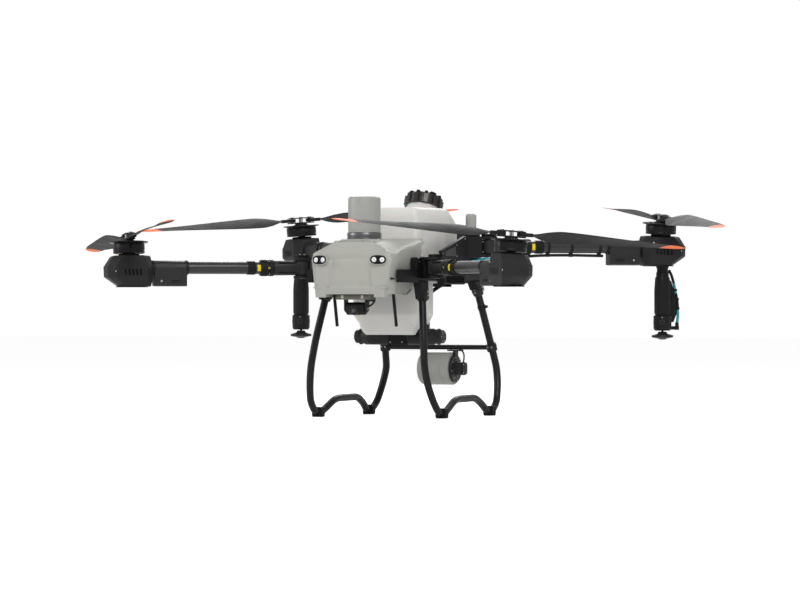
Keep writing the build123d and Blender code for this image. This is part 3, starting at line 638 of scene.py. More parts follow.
def housing_ring(z):
    """One level of the housing: rear edge, side, corner, column, panel edge and middle, then mirrored."""
    width = flank(z)
    front = blend_over(HOUSING_FRONT, z)
    rear = blend_over(HOUSING_REAR, z)
    sunk = 8 * ease((z - 440) / 12) * (1 - ease((z - 540) / 16))
    lean = 8 * (z - 421) / 108
    half = [(width - 2, rear), (width, rear - 30), (width, -260), (width, -330), (width - 1, -362),
            (width - 7, front + 14), (width - 20, front + 3), (width - 32, front), (96 - lean, front),
            (88 - lean, front), (76 - lean, front + sunk), (40, front + sunk), (0, front + sunk - 1)]
    ring = []
    for x, y in half:
        ring.append((x, y, min(z, roof(x, y))))
    return ring + [(-x, y, h) for x, y, h in ring[-2::-1]]


def make_housing():
    shell = Shape()
    levels = [421, 424, 438, 441, 453, 456, 485, 515, 529, 540, 548, 556, 564, 572, 580, 588, 594, 599]
    rings = [housing_ring(z) for z in levels]
    shell.loft(rings, "housing", caps=False, around=False)
    last = rings[-1]
    across = 24
    rows = []
    for x, y, z in last[:len(last) // 2 + 1]:
        row = []
        for i in range(across + 1):
            u = 1 - 2 * i / across
            h = z if i in (0, across) else roof(x * u, y)
            # the rear edge steps forward, clear of the tank
            row.append((x * u, -143.4 if y > -141 and abs(x * u) < 130 else y, h))
        rows.append(row)
    span = across + 1
    faces = [[k * span + i, k * span + i + 1, (k + 1) * span + i + 1, (k + 1) * span + i]
             for k in range(len(rows) - 1) for i in range(across)]
    shell.add([v for row in rows for v in row], faces, "housing")
    shell.build("front_housing_shell", "airframe", ("front_housing",), bevel=2.0,
                segments=3, solid=2.6, sharp=26)

    trim = Shape()
    tilt = (0, -0.49, 0.87)
    for side in (1, -1):
        seat = facing((side * 66, -362, roof(66, -362) + 0.6), tilt, (1, 0, 0))
        trim.lathe([(0, -4), (11.5, -4), (11.5, 0.6), (10, 2), (7, 2), (6.6, 0.4), (0, 0.4)], "housing", seat,
                   40)
        trim.screw(5.4, seat, height=2.6)
        # the columns under the pods, each stepping in to its foot
        column = [(84, -402), (134, -402), (138, -396), (138, -372), (84, -372)]
        outline = [(x * side, y) for x, y in column][::side]
        trim.prism(outline, 440, 447, "housing", taper=2)
        foot = [(90, -398), (128, -398), (130, -392), (130, -352), (90, -352)]
        outline = [(x * side, y) for x, y in foot][::side]
        trim.prism(outline, 409.5, 442, "housing", taper=-3)
        trim.prism([(x * 0.98, y) for x, y in outline], 409.2, 411, "soft_black", taper=3)
        # a round dimple on each flank
        ring_seat = facing((side * flank(536), -352, 534), (side, 0, -0.1), (0, 1, 0))
        trim.lathe([(7.6, -1), (10.4, -1), (10.4, 0.5), (9.6, 0.9), (8.4, 0.9), (7.6, 0.3), (7.6, -1)],
                   "housing", ring_seat, 40)
    # the saddle that carries the radar
    saddle = [(-62, -352), (62, -352), (70, -340), (70, -226), (58, -214), (-58, -214), (-70, -226),
              (-70, -340)]
    trim.prism(saddle, 596, 606.2, "housing", taper=9)
    trim.build("housing_trim", "airframe", bevel=1.2)


def make_pods():
    for side, label in ((1, "left"), (-1, "right")):
        pod = Shape()
        middle = facing((side * 109, -404.5, 536), (side * 0.16, -1, 0.06), (1, 0, 0))
        rim = superellipse(30.4, 17.4, 2.6, 48)
        inner = superellipse(28.2, 15.2, 2.6, 48)
        pod.loft([[(x, y, -9) for x, y in rim], [(x, y, 3) for x, y in rim],
                  [(x * .985, y * .975, 4.4) for x, y in rim], [(x, y, 4.2) for x, y in inner],
                  [(x * .98, y * .97, 1.2) for x, y in inner]], "housing", middle)
        pod.prism(inner, -5, 2.2, "black", middle)
        for dx in (-14, 14):
            spot = shifted(middle, dx)
            pod.lathe([(8.8, 0), (11.2, 0), (11.2, 4.4), (10.2, 5.2), (8.8, 4.4), (8.8, 0)], "soft_black",
                      spot, 40)
            pod.lathe([(0, 2.2), (8.8, 2.2), (8.6, 3.4), (7, 4.8), (4, 5.8), (0, 6.2)], "led", spot, 40)
            pod.tube(2.2, 3, 5.9, 6.7, "steel", spot, 28)
        pod.build("light_pod_" + label, "airframe", ("light_pods", "pod_lenses"), bevel=0.4,
                  segments=1)


def make_radar():
    centre = Matrix.Translation(Vector((0, RADAR_Y, 0)) * MM)
    ring = Shape(centre)
    ring.lathe([(40, 604), (60, 604), (60, 607), (58.4, 608.6), (58.4, 613), (57, 613.6), (57, 616),
                (58.4, 616.6), (58.4, 626.5), (57.2, 628.6), (40, 628.6), (40, 604)], "ring", count=96)
    for i in range(12):
        ring.screw(2.2, shifted(turned(centre, 30 * i + 15), 50, 0, 628.4), height=0.8)
    ring.build("radar_ring_detail", "airframe", ("radar_ring",), bevel=0.5)
    dome = Shape(centre)
    dome.lathe([(0, 629), (54, 629), (55, 630), (55, 632), (54.2, 632.8), (54.2, 634), (55, 634.8), (55, 742),
                (54.4, 745), (52.6, 748), (49.5, 750), (46, 750.8), (0, 751)], "radar", count=112)
    dome.build("radar_dome_shell", "airframe", ("radar_dome",), bevel=0.4, segments=1,
               sharp=30)


def make_gimbal():
    bracket = Shape()
    outline = [(-66, -372), (-58, -378), (58, -378), (66, -372), (66, -342), (54, -330), (-54, -330),
               (-66, -342)]
    bracket.prism(outline, 402, 421, "olive")
    bracket.prism([(x * 0.8, y) for x, y in outline], 420, 424, "casting")
    for side in (1, -1):
        bracket.screw(5.2, facing((side * 37, -378, 411), (0, -1, 0)), height=2.2)
        bracket.prism([(side * 36.2, -357), (side * 42, -357), (side * 42, -333),
                       (side * 36.2, -333)][::side], 372, 403, "casting")
        bracket.lathe([(0, 0), (12.5, 0), (12.5, 5.4), (11, 6.4), (0, 6.4)], "casting",
                      facing((side * 36, GIMBAL_Y, GIMBAL_Z), (side, 0, 0)), 36)
        bracket.rod(4.9, 0, 8, "steel", facing((side * 28, GIMBAL_Y, GIMBAL_Z), (side, 0, 0)), 24)
        bracket.screw(3.4, facing((side * 42.2, GIMBAL_Y, GIMBAL_Z), (side, 0, 0)), height=1.4)
    bracket.prism([(42, -352), (50, -352), (66, -340), (66, -334), (42, -334)], 396, 402.4, "casting")
    bracket.sweep([(44, -338, 380), (56, -337, 388), (64, -337, 402), (62, -337, 421)], 3, "black")
    bracket.build("gimbal_bracket_detail", "airframe", ("gimbal_bracket",), bevel=1.0)

    camera = Shape()
    axis = facing((0, GIMBAL_Y, GIMBAL_Z), (1, 0, 0))
    camera.lathe([(0, -34.6), (18, -34.6), (21.4, -32), (21.4, -12), (22, -11), (22, 11), (21.4, 12),
                  (21.4, 32), (18, 34.6), (0, 34.6)], "black", axis, 56)
    look = facing((0, GIMBAL_Y, GIMBAL_Z), (0, -1, -0.25), (1, 0, 0))
    camera.lathe([(0, 10), (16.5, 10), (16.5, 25), (15.5, 28.5), (12.5, 29.6), (11.8, 28.2), (9, 25),
                  (0, 25)], "casting", look, 48)
    camera.lathe([(0, 24.8), (9, 24.8), (8.4, 26.4), (6, 27.6), (3, 28.2), (0, 28.4)], "glass", look, 40)
    camera.build("gimbal_camera_detail", "gimbal_camera", ("gimbal_camera",), bevel=0.6,
                 segments=1)


# ---------------------------------------------------------------- tank and cap
TANK_LEVELS = (460, 461, 464, 470, 482, 497, 506, 513, 521, 545, 575, 605, 632, 645, 652, 660, 672, 684, 694,
               702, 708, 712, 715, 716.6)


RECESS_DEPTH = 3.6
NECK_LEAN = radians(21)


def recess(y, z):
    """How far a point lies inside the pressed trapezoid on the tank's flank, from 0 to 1."""
    t = (z - 498) / (662 - 498)
    if not 0 <= t <= 1:
        return 0.0
    low, high = -104 + 14 * t, 100 - 22 * t
    return min(ease((y - low) / 12), ease((high - y) / 12), ease(t / 0.07), ease((1 - t) / 0.07))


def tank_plan(tuck):
    """The tank's outline from above: square front corners, and long facets towards the rear."""
    front, rear, half = -139.6 + tuck, 257.4 - tuck, 126.6 - tuck
    narrow = 103.6 - tuck
    corner = 14
    right = [(narrow - 12, rear), (narrow - 4, rear - 3), (narrow, rear - 12)]
    right += [(narrow + (half - narrow) * k / 10, rear - 12 + (115 - rear + 12) * k / 10)
              for k in range(1, 10)]
    right += [(half, 115 - 231 * k / 20) for k in range(20)]
    right += [(half - corner * (1 - cos(pi / 2 * k / 6)), front + corner * (1 - sin(pi / 2 * k / 6)))
              for k in range(7)]
    right += [((half - corner) * (1 - k / 6), front) for k in range(1, 6)]
    left = [(-x, y) for x, y in right[::-1]]
    back = [(-(narrow - 12) + 2 * (narrow - 12) * k / 8, rear) for k in range(1, 8)]
    return right + [(0, front)] + left + back


def make_tank():
    tank = Shape()
    rings = []
    for z in TANK_LEVELS:
        rise = (z - 680) / 37
        tuck = 15 * (1 - (1 - min(1, rise) ** 2) ** 0.5) if rise > 0 else 0
        if z < 470:
            tuck = 5 * ((470 - z) / 10) ** 2
        ring = []
        for x, y in tank_plan(tuck):
            top = z
            if y > 100:
                top = min(z, 460 + (z - 460) * (1 - 44 / 257 * min(1, max(0, (y - 140) / 116)) ** 1.1))
            pressed = recess(y, z) if abs(x) > 110 else 0
            ring.append((x - (RECESS_DEPTH if x > 0 else -RECESS_DEPTH) * pressed, y, top))
        rings.append(ring)
    tank.loft(rings, "tank")
    neck = facing((0, 188, 720), (0, sin(NECK_LEAN), cos(NECK_LEAN)), (1, 0, 0))
    tank.lathe([(50, -36), (56, -20), (60, -10), (57, -5), (56, -2), (56, 9.8), (50, 9.8), (50, -36)], "tank",
               neck, 72)
    # the front part that reaches down past the pump, with its moulded flutes
    keel = []
    for t in range(27):
        z = 468 - t * (468 - 281.6) / 26
        half = 126.4 if z > 350 else 126.4 - (350 - z) * 35 / 69
        front = -139.4 if z > 350 else -139.4 + (350 - z) * 28 / 60 if z > 290 else -111.4 + (290 - z) * 2.2
        rear = 27.4 if z > 312.5 else -40.5 - (312.5 - z) * 16 / 31
        pinch = 3 * ease((350 - z) / 40)
        ring = []
        for u, v in superellipse(1, 1, 6, 64):
            flute = 1.0 - 0.022 * max(0, sin(pi * 7 * (v + 1) / 2)) ** 2 * ease((352 - z) / 14)
            ring.append(((half - pinch) * u * flute, (front + rear) / 2 + (rear - front) / 2 * v, z))
        keel.append(ring[::-1])
    tank.loft(keel, "tank")
    for side in (1, -1):
        for y in (-90, 0, 90):
            tank.prism([(side * 124, y - 14), (side * 170, y - 10), (side * 170, y + 10),
                        (side * 124, y + 14)][::side], 545.6, 551, "tank")
    tank.build("tank_shell", "tank", ("tank",), bevel=1.0, segments=2, sharp=28)

    cap = Shape(neck)
    cap.lathe([(0, 10.6), (56.4, 10.6), (56.4, 1), (61, 1), (63, 3), (63, 8), (61, 10), (61, 27), (63, 29),
               (63, 33), (58, 36), (58, 41), (50, 43), (47, 41.5), (45, 40), (0, 40)], "cap", count=96)
    for i in range(12):
        lug = turned(neck, 30 * i)
        cap.prism([(57, -9), (68, -7.4), (68, 7.4), (57, 9)], 2, 33, "cap", lug)
        cap.prism([(52, -6), (61, -5), (61, 5), (52, 6)], 33, 45.6, "soft_black", lug)
        cap.screw(2.6, shifted(lug, 57, 0, 45.4), height=1.4)
        cap.screw(2.2, place_at(shifted(lug, 67.6, 0, 22).translation, neck.col[2].xyz, lug.col[0].xyz),
                  height=0.3)
    cap.prism(superellipse(45, 8.6, 4, 40), 41.5, 49.2, "soft_black")
    cap.prism(superellipse(12, 12, 2, 32), 41.5, 50, "cap")
    for angle in (35, 145, 215, 325):
        lug = turned(neck, angle)
        cap.prism([(34, -7), (58, -9), (58, 9), (34, 7)], 41, 47.4, "soft_black", lug)
        cap.screw(4, shifted(lug, 50, 0, 47.2), height=1.2)
    cap.tube(30, 33, 41.8, 44, "steel", neck, 56)
    cap.build("tank_cap_detail", "tank_cap", ("tank_cap",), bevel=0.8)


# ---------------------------------------------------------------- sprinklers
def make_sprinkler(label, corner):
    low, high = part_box(label + "_sprinkler")
    middle = (low + high) / 2
    place = Matrix.Translation((middle.x, middle.y, 0))
    arm, length = arm_place(corner)
    body = Shape(place)
    body.lathe([(0, 520.6), (22, 520.6), (22, 514), (19.6, 511), (19.6, 500), (22, 497), (22, 484),
                (25.6, 478), (26.6, 468), (28.6, 440), (28.6, 354), (26, 350), (26, 348), (31.6, 345),
                (31.6, 302), (29, 296), (26, 293.6), (12, 293.6), (4, 293), (4, 266.4), (0, 266.4)], "black",
               count=64)
    for i in range(10):
        side = turned(place, 36 * i + 10)
        body.prism([(26, -3.4), (29, -2.4), (29, 2.4), (26, 3.4)], 358, 436, "soft_black", side)
    for i in range(4):
        side = turned(place, 90 * i + 20)
        boss = place_at(shifted(side, 29.5, 0, 324).translation, (0, 0, 1), side.col[0].xyz)
        body.lathe([(0, -2), (10, -2), (10, 1.2), (8.4, 2.2), (5, 2.2), (4, 1.2), (0, 1.2)], "casting", boss,
                   32)
        body.screw(2.2, shifted(turned(place, 45 + 90 * i), 25, 0, 293.9) @ UPSIDE_DOWN, height=1.4)
        body.screw(2.4, place_at(shifted(side, 31, 0, 340).translation, (0, 0, 1), side.col[0].xyz), height=1)
    # the hose fin on the outboard side, with its ribs and holes
    radial = place_at(middle.xy.to_3d(), arm.col[0].xyz, Vector((0, 0, 1)).cross(arm.col[0].xyz) * -1)
    lift = 1 if radial.col[1].z > 0 else -1
    fin = [(18, 476), (32, 467), (41, 437), (49.6, 405), (51.6, 352), (40, 323), (18, 323)]
    body.prism([(x, z * lift) for x, z in fin][::lift], -3.4, 3.4, "black", radial)
    for x, z in ((33, 440), (38, 410), (41, 378), (40, 346)):
        body.prism([(x + dx, (z + dz) * lift) for dx, dz in superellipse(5, 9, 3, 24)][::lift], -4.6, 4.6,
                   "soft_black", radial)
    body.build(label + "_sprinkler_body", corner + "_arm", (label + "_sprinkler",),
               bevel=0.6, segments=1)

    disc = Shape(place)
    disc.lathe([(4.2, 264), (4.2, 290), (13.6, 290), (15, 288), (17.6, 283), (37.4, 277), (38, 276),
                (38, 270.6), (37, 269.8), (17, 266), (10, 262.4), (6, 262), (4.2, 264)], "casting", count=72)
    for i in range(36):
        disc.prism([(18, -0.7), (37.4, -1.2), (37.4, 1.2), (18, 0.7)], 270.5, 277.8, "casting",
                   turned(place, 10 * i), taper=0.2)
    disc.build(label + "_disc_detail", label + "_spray_disc", (label + "_spray_disc",),
               bevel=0.3, segments=1)

    outboard = arm.col[0].xyz

    def out(r, z):
        """A point in millimetres, r outboard of the barrel's axis."""
        return middle.xy.to_3d() / MM + outboard * r + Vector((0, 0, z))

    plate = Shape()
    for r, z in ((47, 436), (54, 404), (56, 372)):
        plate.tube(5.4, 7.4, -4, 4, "black", facing(out(r, z), (0, 0, 1), arm.col[1].xyz), 28)
    plate.sweep([out(24, 506), out(34, 486), out(42, 460)], HOSE_RADIUS, "black")
    plate.sweep([out(42, 460), out(47, 436), out(50, 424)], HOSE_RADIUS, "teal")
    plate.sweep([out(50, 424), out(54, 404), out(56.5, 380), out(57, 366)], HOSE_RADIUS, "black")
    plate.sweep([out(57, 366), out(57.5, 350), out(56, 330), out(54, 322)], HOSE_RADIUS, "teal")
    plate.lathe([(0, 0), (7.6, 0), (7.6, 12), (6.4, 14), (6.4, 26), (0, 26)], "black",
                facing(out(54, 296), (0, 0, 1), (1, 0, 0)), 28)
    plate.rod(6.4, 0, 26, "black", facing(out(28, 303), outboard), 28)
    plate.build(label + "_sprinkler_hoses", corner + "_arm", bevel=0.5, segments=1)

    line = Shape(arm)
    line.sweep([(62, 0, -31), (120, 0, -33), (200, 0, -29), (300, 0, -28), (length - 215, 0, -30)],
               HOSE_RADIUS, "black", steps=10)
    for x in (90, 215, 300, length - 230):
        line.tube(21.6, 22.8, -5, 5, "soft_black", along(arm, x), 48)
        line.block((x - 6, -6, -34), (x + 6, 6, -20.6), "soft_black")
    line.build(label + "_arm_hose", corner + "_arm", bevel=0.5, segments=1)


make_housing()
make_pods()
make_radar()
make_gimbal()
make_tank()
for label_, corner_name in (("left", "rear_left"), ("right", "rear_right")):
    make_sprinkler(label_, corner_name)


# ---------------------------------------------------------------- frame, hinges and landing gear
def rounded_box(shape, low, high, material, cut=4):
    """A box with its long edges, along y, cut at 45 degrees."""
    (x0, y0, z0), (x1, y1, z1) = low, high
    outline = [(x0 + cut, z0), (x1 - cut, z0), (x1, z0 + cut), (x1, z1 - cut), (x1 - cut, z1), (x0 + cut, z1),
               (x0, z1 - cut), (x0, z0 + cut)]
    shape.loft([[(x, y, z) for x, z in outline] for y in (y1, y0)], material)


def make_frame():
    shape = Shape()
    for s in (1, -1):
        low, high = sorted((s * 159, s * BEAM_FACE))
        rounded_box(shape, (low, -255, 465), (high, 272, 545), "black")
        rounded_box(shape, (low, 178, 543), (high, 272, 625), "black", 6)
        lengthwise = facing((0, 0, 0), (1, 0, 0), (0, 1, 0))
        inner, outer_face = sorted((s * 174, s * BEAM_FACE))
        shape.prism([(-60, 540), (180, 540), (180, 622), (140, 622), (-60, 568)], inner, outer_face, "black",
                    lengthwise)
        skin = sorted((s * 184, s * 186.3))
        shape.prism([(-30, 552), (56, 552), (56, 586), (-30, 566)], skin[0], skin[1], "bracket", lengthwise)
        shape.prism([(70, 552), (168, 552), (168, 610), (140, 610), (70, 592)], skin[0], skin[1],
                    "soft_black", lengthwise)
        for y, z in ((-50, 560), (64, 590), (134, 612), (172, 612), (172, 552), (64, 552)):
            shape.screw(3, facing((s * BEAM_FACE, y, z), (s, 0, 0), (0, 1, 0)), height=1)
        # webs and lightening pockets on the outer face
        for y in (-205, -120, 105, 190):
            outer = facing((s * BEAM_FACE, y, 505), (s, 0, 0), (0, s, 0))
            shape.prism(superellipse(30, 22, 5, 32), -3, 0.15, "soft_black", outer)
            shape.prism(superellipse(26, 18, 5, 32), -3, 0.6, "black", outer, taper=2)
            for dx in (-36, 36):
                shape.screw(2.8, shifted(outer, dx, 26), height=1)
        # side box with its lid and bolts
        box_low, box_high = sorted((s * 184, s * 212))
        rounded_box(shape, (box_low, -92, 454), (box_high, 80, 489), "soft_black", 5)
        lid = facing((s * 211.4, -6, 471), (s, 0, 0), (0, s, 0))
        shape.prism(superellipse(74, 12, 6, 44), -1, 0.6, "black", lid)
        for dx in (-66, -22, 22, 66):
            shape.screw(2, shifted(lid, dx, 0, -0.8), height=1.2)
        # the bar beside the front housing
        bar = [(s * 157, -364), (s * 178, -364), (s * 186, -300), (s * 186, -252), (s * 159, -252)][::s]
        shape.prism(bar, 460, 502, "black")
        shape.prism([(x, y + 6) for x, y in bar], 501, 504, "soft_black", taper=3)
        # cap plate and antenna seat on the tower
        shape.prism(superellipse(13, 42, 6, 40, s * TOWER_X, 225), 624, 627.5, "soft_black")
        for y in (186, 264):
            shape.screw(3, facing((s * TOWER_X, y, 627.4), (0, 0, 1), (1, 0, 0)), height=1.6)
    shape.block((-159, -160, 465), (159, -146, 545), "black")
    shape.block((-159, 265, 465), (159, 272, 600), "black")
    shape.prism([(-146, -380), (146, -380), (146, -160), (-146, -160)], 470, 476, "soft_black")
    for x in (-110, -55, 0, 55, 110):
        shape.prism([(x - 2.5, 271.5), (x + 2.5, 271.5), (x + 2.5, 274), (x - 2.5, 274)], 530, 596,
                    "soft_black")
    tray = [(-89, 272), (89, 272), (89, 392), (-89, 392)]
    shape.prism(tray, 459.5, 464.1, "black")
    for s in (1, -1):
        low, high = sorted((s * 84, s * 89))
        shape.block((low, 270, 463), (high, 392, 560), "black")
        for y in (300, 330, 360):
            shape.prism([(y - 9, 480), (y + 9, 480), (y + 9, 548), (y - 9, 548)], -0.6, 0.2, "soft_black",
                        facing((s * 89.2, 0, 0), (1, 0, 0), (0, 1, 0)))
    shape.block((-89, 388, 463), (89, 392, 560), "black")
    shape.block((-89, 265, 459.5), (89, 272, 466), "black")
    for x in (-60, -20, 20, 60):
        shape.prism(superellipse(12, 3, 3, 24), -0.8, 0.8, "soft_black",
                    facing((x, 391.6, 530), (0, 1, 0), (1, 0, 0)))
    shape.build("centre_frame_body", "airframe", ("centre_frame",), bevel=1.6)


def make_yoke(corner):
    arm, _ = arm_place(corner)
    reach = abs(arm.translation.x / MM) - 186.2
    inward = -reach / abs(arm.col[0].x)
    yoke = Shape(arm)
    ear = [(30 * cos(a), 30 * sin(a)) for a in [-pi / 2 + pi * i / 20 for i in range(21)]]
    root = inward + 22
    for low in (-36, 26.4):
        yoke.prism([(root, -28)] + ear + [(root, 28)], low, low + 9.6, "casting")
        yoke.prism([(root, -30)] + [(x * 0.72, y * 0.72) for x, y in ear] + [(root, 30)],
                   low - 0.1 if low > 0 else low, low + 9.6, "casting")
    yoke.rod(8, -36, 36, "steel", count=32)
    yoke.rod(13, -1, 0.2, "steel", shifted(arm, 0, 0, -36) @ UPSIDE_DOWN, 36)
    # latch block on the upper ear, with its lever and four screws
    yoke.prism([(22, -17), (22, 17), (18, 20), (-18, 20), (-22, 17), (-22, -17), (-18, -20), (18, -20)][::-1],
               35.8, 43, "black")
    yoke.prism(superellipse(15, 9, 4, 32), 42.8, 45, "soft_black")
    for y in (-13.5, 13.5):
        yoke.screw(4, shifted(arm, -13, y, 43), height=1.9)
        yoke.screw(3, shifted(arm, 14, y, 43), height=1.5)
    # screws of the shoulder that carries the ears, where they clear the beam
    for y in (-20, 20):
        for z in (-18, 18):
            at = arm @ (Vector((inward + 30, y, z)) * MM)
            if abs(at.x) > 0.190:
                yoke.screw(3.4, place_at(at, (0, 0, 1), arm.col[0].xyz), height=2.4)
    yoke.build(corner + "_yoke_detail", "airframe", bevel=1.1)


def make_legs():
    for side in (1, -1):
        label = "left" if side > 0 else "right"
        detail = Shape()
        for y, start, run in ((-207, (177.5, -202, 439), (25.5, -44, -174)),
                              (246, (181, 246, 438), (30, 87, -249))):
            way = Vector((side * run[0], run[1], run[2])).normalized()
            down = 14 if y < 0 else -6
            socket = place_at((Vector((side * start[0], start[1], start[2])) + way * down) * MM, (1, 0, 0),
                              way)
            detail.lathe([(12.8, -8), (20, -8), (21, -6), (20.6, 16), (18, 22), (18, 26), (16, 28),
                          (12.8, 28), (12.8, -8)], "casting", socket, 44)
            for z in (0, 12):
                for across, fore in ((0, -1 if y < 0 else 1), (side, 0)):
                    seat = shifted(socket, 20 * across, 20 * fore, z).translation
                    outward = socket.col[0].xyz * across + socket.col[1].xyz * fore
                    detail.screw(3.2, place_at(seat, way, outward), height=2.2)
            if y > 0:
                detail.tube(12.6, 14.6, 66, 78, "black", socket, 32)
                detail.block((13, -5, 68), (22, 5, 76), "black", socket)
        detail.build(label + "_leg_fittings", "airframe", bevel=0.8)

        feet = Shape()
        for y in (-163, 238):
            x = side * 233
            feet.prism(superellipse(16.6, 18.6, 5, 40, x, y), 3, 25.4, "rubber", taper=1.2)
            feet.prism(superellipse(16.2, 18.2, 5, 40, x, y), 0, 3, "rubber", taper=-0.4)
            for k in range(4):
                feet.prism(superellipse(17, 19, 5, 40, x, y), 6 + 4 * k, 8 + 4 * k, "rubber")
        feet.build(label + "_foot_pads", "airframe", bevel=0.8)

        clamps = Shape(facing((side * 205, CROSSBAR_Y, CROSSBAR_Z), (1, 0, 0)))
        clamps.lathe([(8.7, -12.8), (15.6, -12.8), (17.8, -10.5), (17.8, 10.5), (15.6, 12.8), (8.7, 12.8),
                      (8.7, -12.8)], "casting", count=40)
        for dz in (-7, 7):
            clamps.screw(2.8, facing((side * 205 + dz, CROSSBAR_Y - 17.4, CROSSBAR_Z), (0, -1, 0), (1, 0, 0)),
                         height=1.8)
        clamps.build(label + "_crossbar_clamp", "airframe", bevel=0.9)


# ---------------------------------------------------------------- rear radar, pump, battery, antennas
def make_rear_radar():
    axis = facing((0, CROSSBAR_Y, REAR_RADAR_Z), (1, 0, 0))
    drum = Shape(axis)
    drum.lathe([(0, -60), (48, -60), (51, -59.4), (54, -57), (56.2, -53), (57, -49), (57, 30), (56, 31),
                (56, 33), (57, 34), (57, 58), (56, 60.4), (0, 60.9)], "radar", count=96)
    drum.tube(20, 22, -60.1, -59, "black", count=48)
    for i in range(6):
        drum.screw(2.2, shifted(turned(axis, 60 * i), 42, 0, -60.2) @ UPSIDE_DOWN, height=-0.2)
    drum.build("rear_radar_drum", "airframe", ("rear_radar",), bevel=0.5)
    mount = Shape(axis)
    mount.lathe([(0, 61), (46, 61), (48, 62.4), (48, 68), (46.5, 70), (30, 71), (26, 74), (0, 74)], "casting",
                count=64)
    for i in range(8):
        mount.screw(2.4, shifted(turned(axis, 45 * i + 10), 40, 0, 70), height=1.8)
    motor = superellipse(23, 22, 5, 40)
    mount.prism(motor, 71, 98, "casting")
    mount.prism([(x * 0.93, y * 0.93) for x, y in motor], 97, 103.6, "black", taper=1)
    mount.rod(8, 103, 104, "black", count=28)
    for sx in (-15, 15):
        for sy in (-15, 15):
            mount.screw(2.2, shifted(axis, sx, sy, 103.4), height=0.8)
    mount.block((61, 306, 184), (71, 330, 224), "casting", GROUND)
    mount.block((40, 304, 222), (92, 328, 227), "casting", GROUND)
    for x in (50, 82):
        mount.screw(3, facing((x, CROSSBAR_Y, 226.8), (0, 0, 1), (1, 0, 0)), height=2)
    mount.sweep([(96, 316, 182), (99, 316, 196), (96, 320, 214), (84, 322, 228)], 2.6, "black", GROUND)
    mount.build("rear_radar_bracket", "airframe", ("rear_radar_mount",), bevel=0.9)


def make_pump():
    pump = Shape(facing((0, 0, PUMP_Z), (1, 0, 0), (0, 1, 0)))
    for s in (1, -1):
        run = facing((0, 0, PUMP_Z), (s, 0, 0), (0, 1, 0))
        pump.lathe([(0, 30), (26, 30), (28, 33), (28, 128), (25, 134), (25, 142), (27.6, 145), (27.6, 150),
                    (23, 152), (23, 163), (21, 166), (0, 166)], "casting", run, 56)
        for k in range(8):
            z = 44 + 9 * k
            pump.lathe([(26.6, z), (28, z + 0.6), (28, z + 4), (26.6, z + 4.6), (26.6, z)], "black", run, 56)
        for i in range(6):
            pump.screw(2.2, shifted(turned(run, 60 * i), 18, 0, 165.6), height=1.2)
        low, high = sorted((s * 84, s * 90))
        pump.prism([(8, 263), (50, 263), (50, 446), (32, 446), (32, 300), (26, 288), (8, 288)], low, high,
                   "casting", facing((0, 0, 0), (1, 0, 0), (0, 1, 0)))
        low, high = sorted((s * 160, s * 172))
        pump.block((low, 32, 446), (high, 50, 464.9), "casting", GROUND)
        elbow = Matrix.Translation(Vector((s * 62, 40, 0)) * MM)
        pump.lathe([(0, 266.2), (7.6, 266.2), (9, 267.6), (9, 284), (8, 285.6), (8, 296), (9, 297),
                    (9, 299.8), (6.6, 299.8), (6.6, 298), (0, 298)], "black", elbow, 28)
        pump.rod(8.8, 18, 38, "black", facing((s * 62, 0, PUMP_Z), (0, 1, 0), (1, 0, 0)), 28)
    pump.prism([(-172, 446), (172, 446), (172, 458), (-172, 458)], -50, -32, "casting",
               facing((0, 0, 0), (0, -1, 0), (1, 0, 0)))
    pump.block((-33.6, -30, 247), (33.6, 30, 307), "black", GROUND)
    pump.block((-26, -31.6, 252), (26, 31.6, 300), "soft_black", GROUND)
    for x in (-22, 22):
        for z in (256, 297):
            pump.screw(2.6, facing((x, -31.4, z), (0, -1, 0), (1, 0, 0)), height=1.4)
    pump.build("pump_detail", "airframe", ("pump_unit",), bevel=1.0)


def make_battery():
    pack = Shape()
    outline = [(-82, 284), (-74, 276), (74, 276), (82, 284), (82, 378), (74, 386), (-74, 386), (-82, 378)]
    pack.prism(outline, 464.6, 634, "soft_black")
    pack.prism(outline, 632, 640, "black", taper=4)
    for k in range(9):
        z = 572 + 6.5 * k
        pack.block((-50, 385, z), (50, 386, z + 3), "black")
    pack.sweep([(-66, 330, 638), (-64, 330, 650), (-50, 330, 654.6), (50, 330, 654.6), (64, 330, 650),
                (66, 330, 638)], 5, "black")
    pack.prism([(-30, 297), (30, 297), (30, 310), (-30, 310)], 639.6, 642, "casting")
    for x in (-21, -7, 7, 21):
        pack.prism(superellipse(3.6, 2, 4, 20, x, 303.5), 641.6, 642.6, "led")
    pack.build("battery_pack", "battery", ("battery",), bevel=1.4)


def make_antennas():
    seats = Shape()
    for s in (1, -1):
        base = superellipse(26.8, 24.8, 6, 44, s * 175, 207)
        seats.prism(base, 625, 640, "black")
        seats.prism(base, 640, 643, "black", taper=3)
        here = Matrix.Translation(Vector((s * 175, 207, 0)) * MM)
        seats.lathe([(0, 643), (18.5, 643), (18.5, 646), (17.6, 646.8), (17.6, 648), (18.5, 648.8),
                     (18.5, 690), (18, 694), (16, 697.6), (12.5, 699.6), (0, 700)], "radar", here, 64)
        for dx, dy in ((-21, -19), (21, -19), (-21, 19), (21, 19)):
            seats.screw(2.4, shifted(here, dx, dy, 642.6), height=1.4)
        seats.sweep([(s * 188, 222, 640), (s * 190, 236, 638), (s * 186, 248, 630), (s * 180, 252, 622)], 2.6,
                    "black")
    seats.build("position_antenna_pair", "airframe", ("position_antennas",), bevel=0.6)


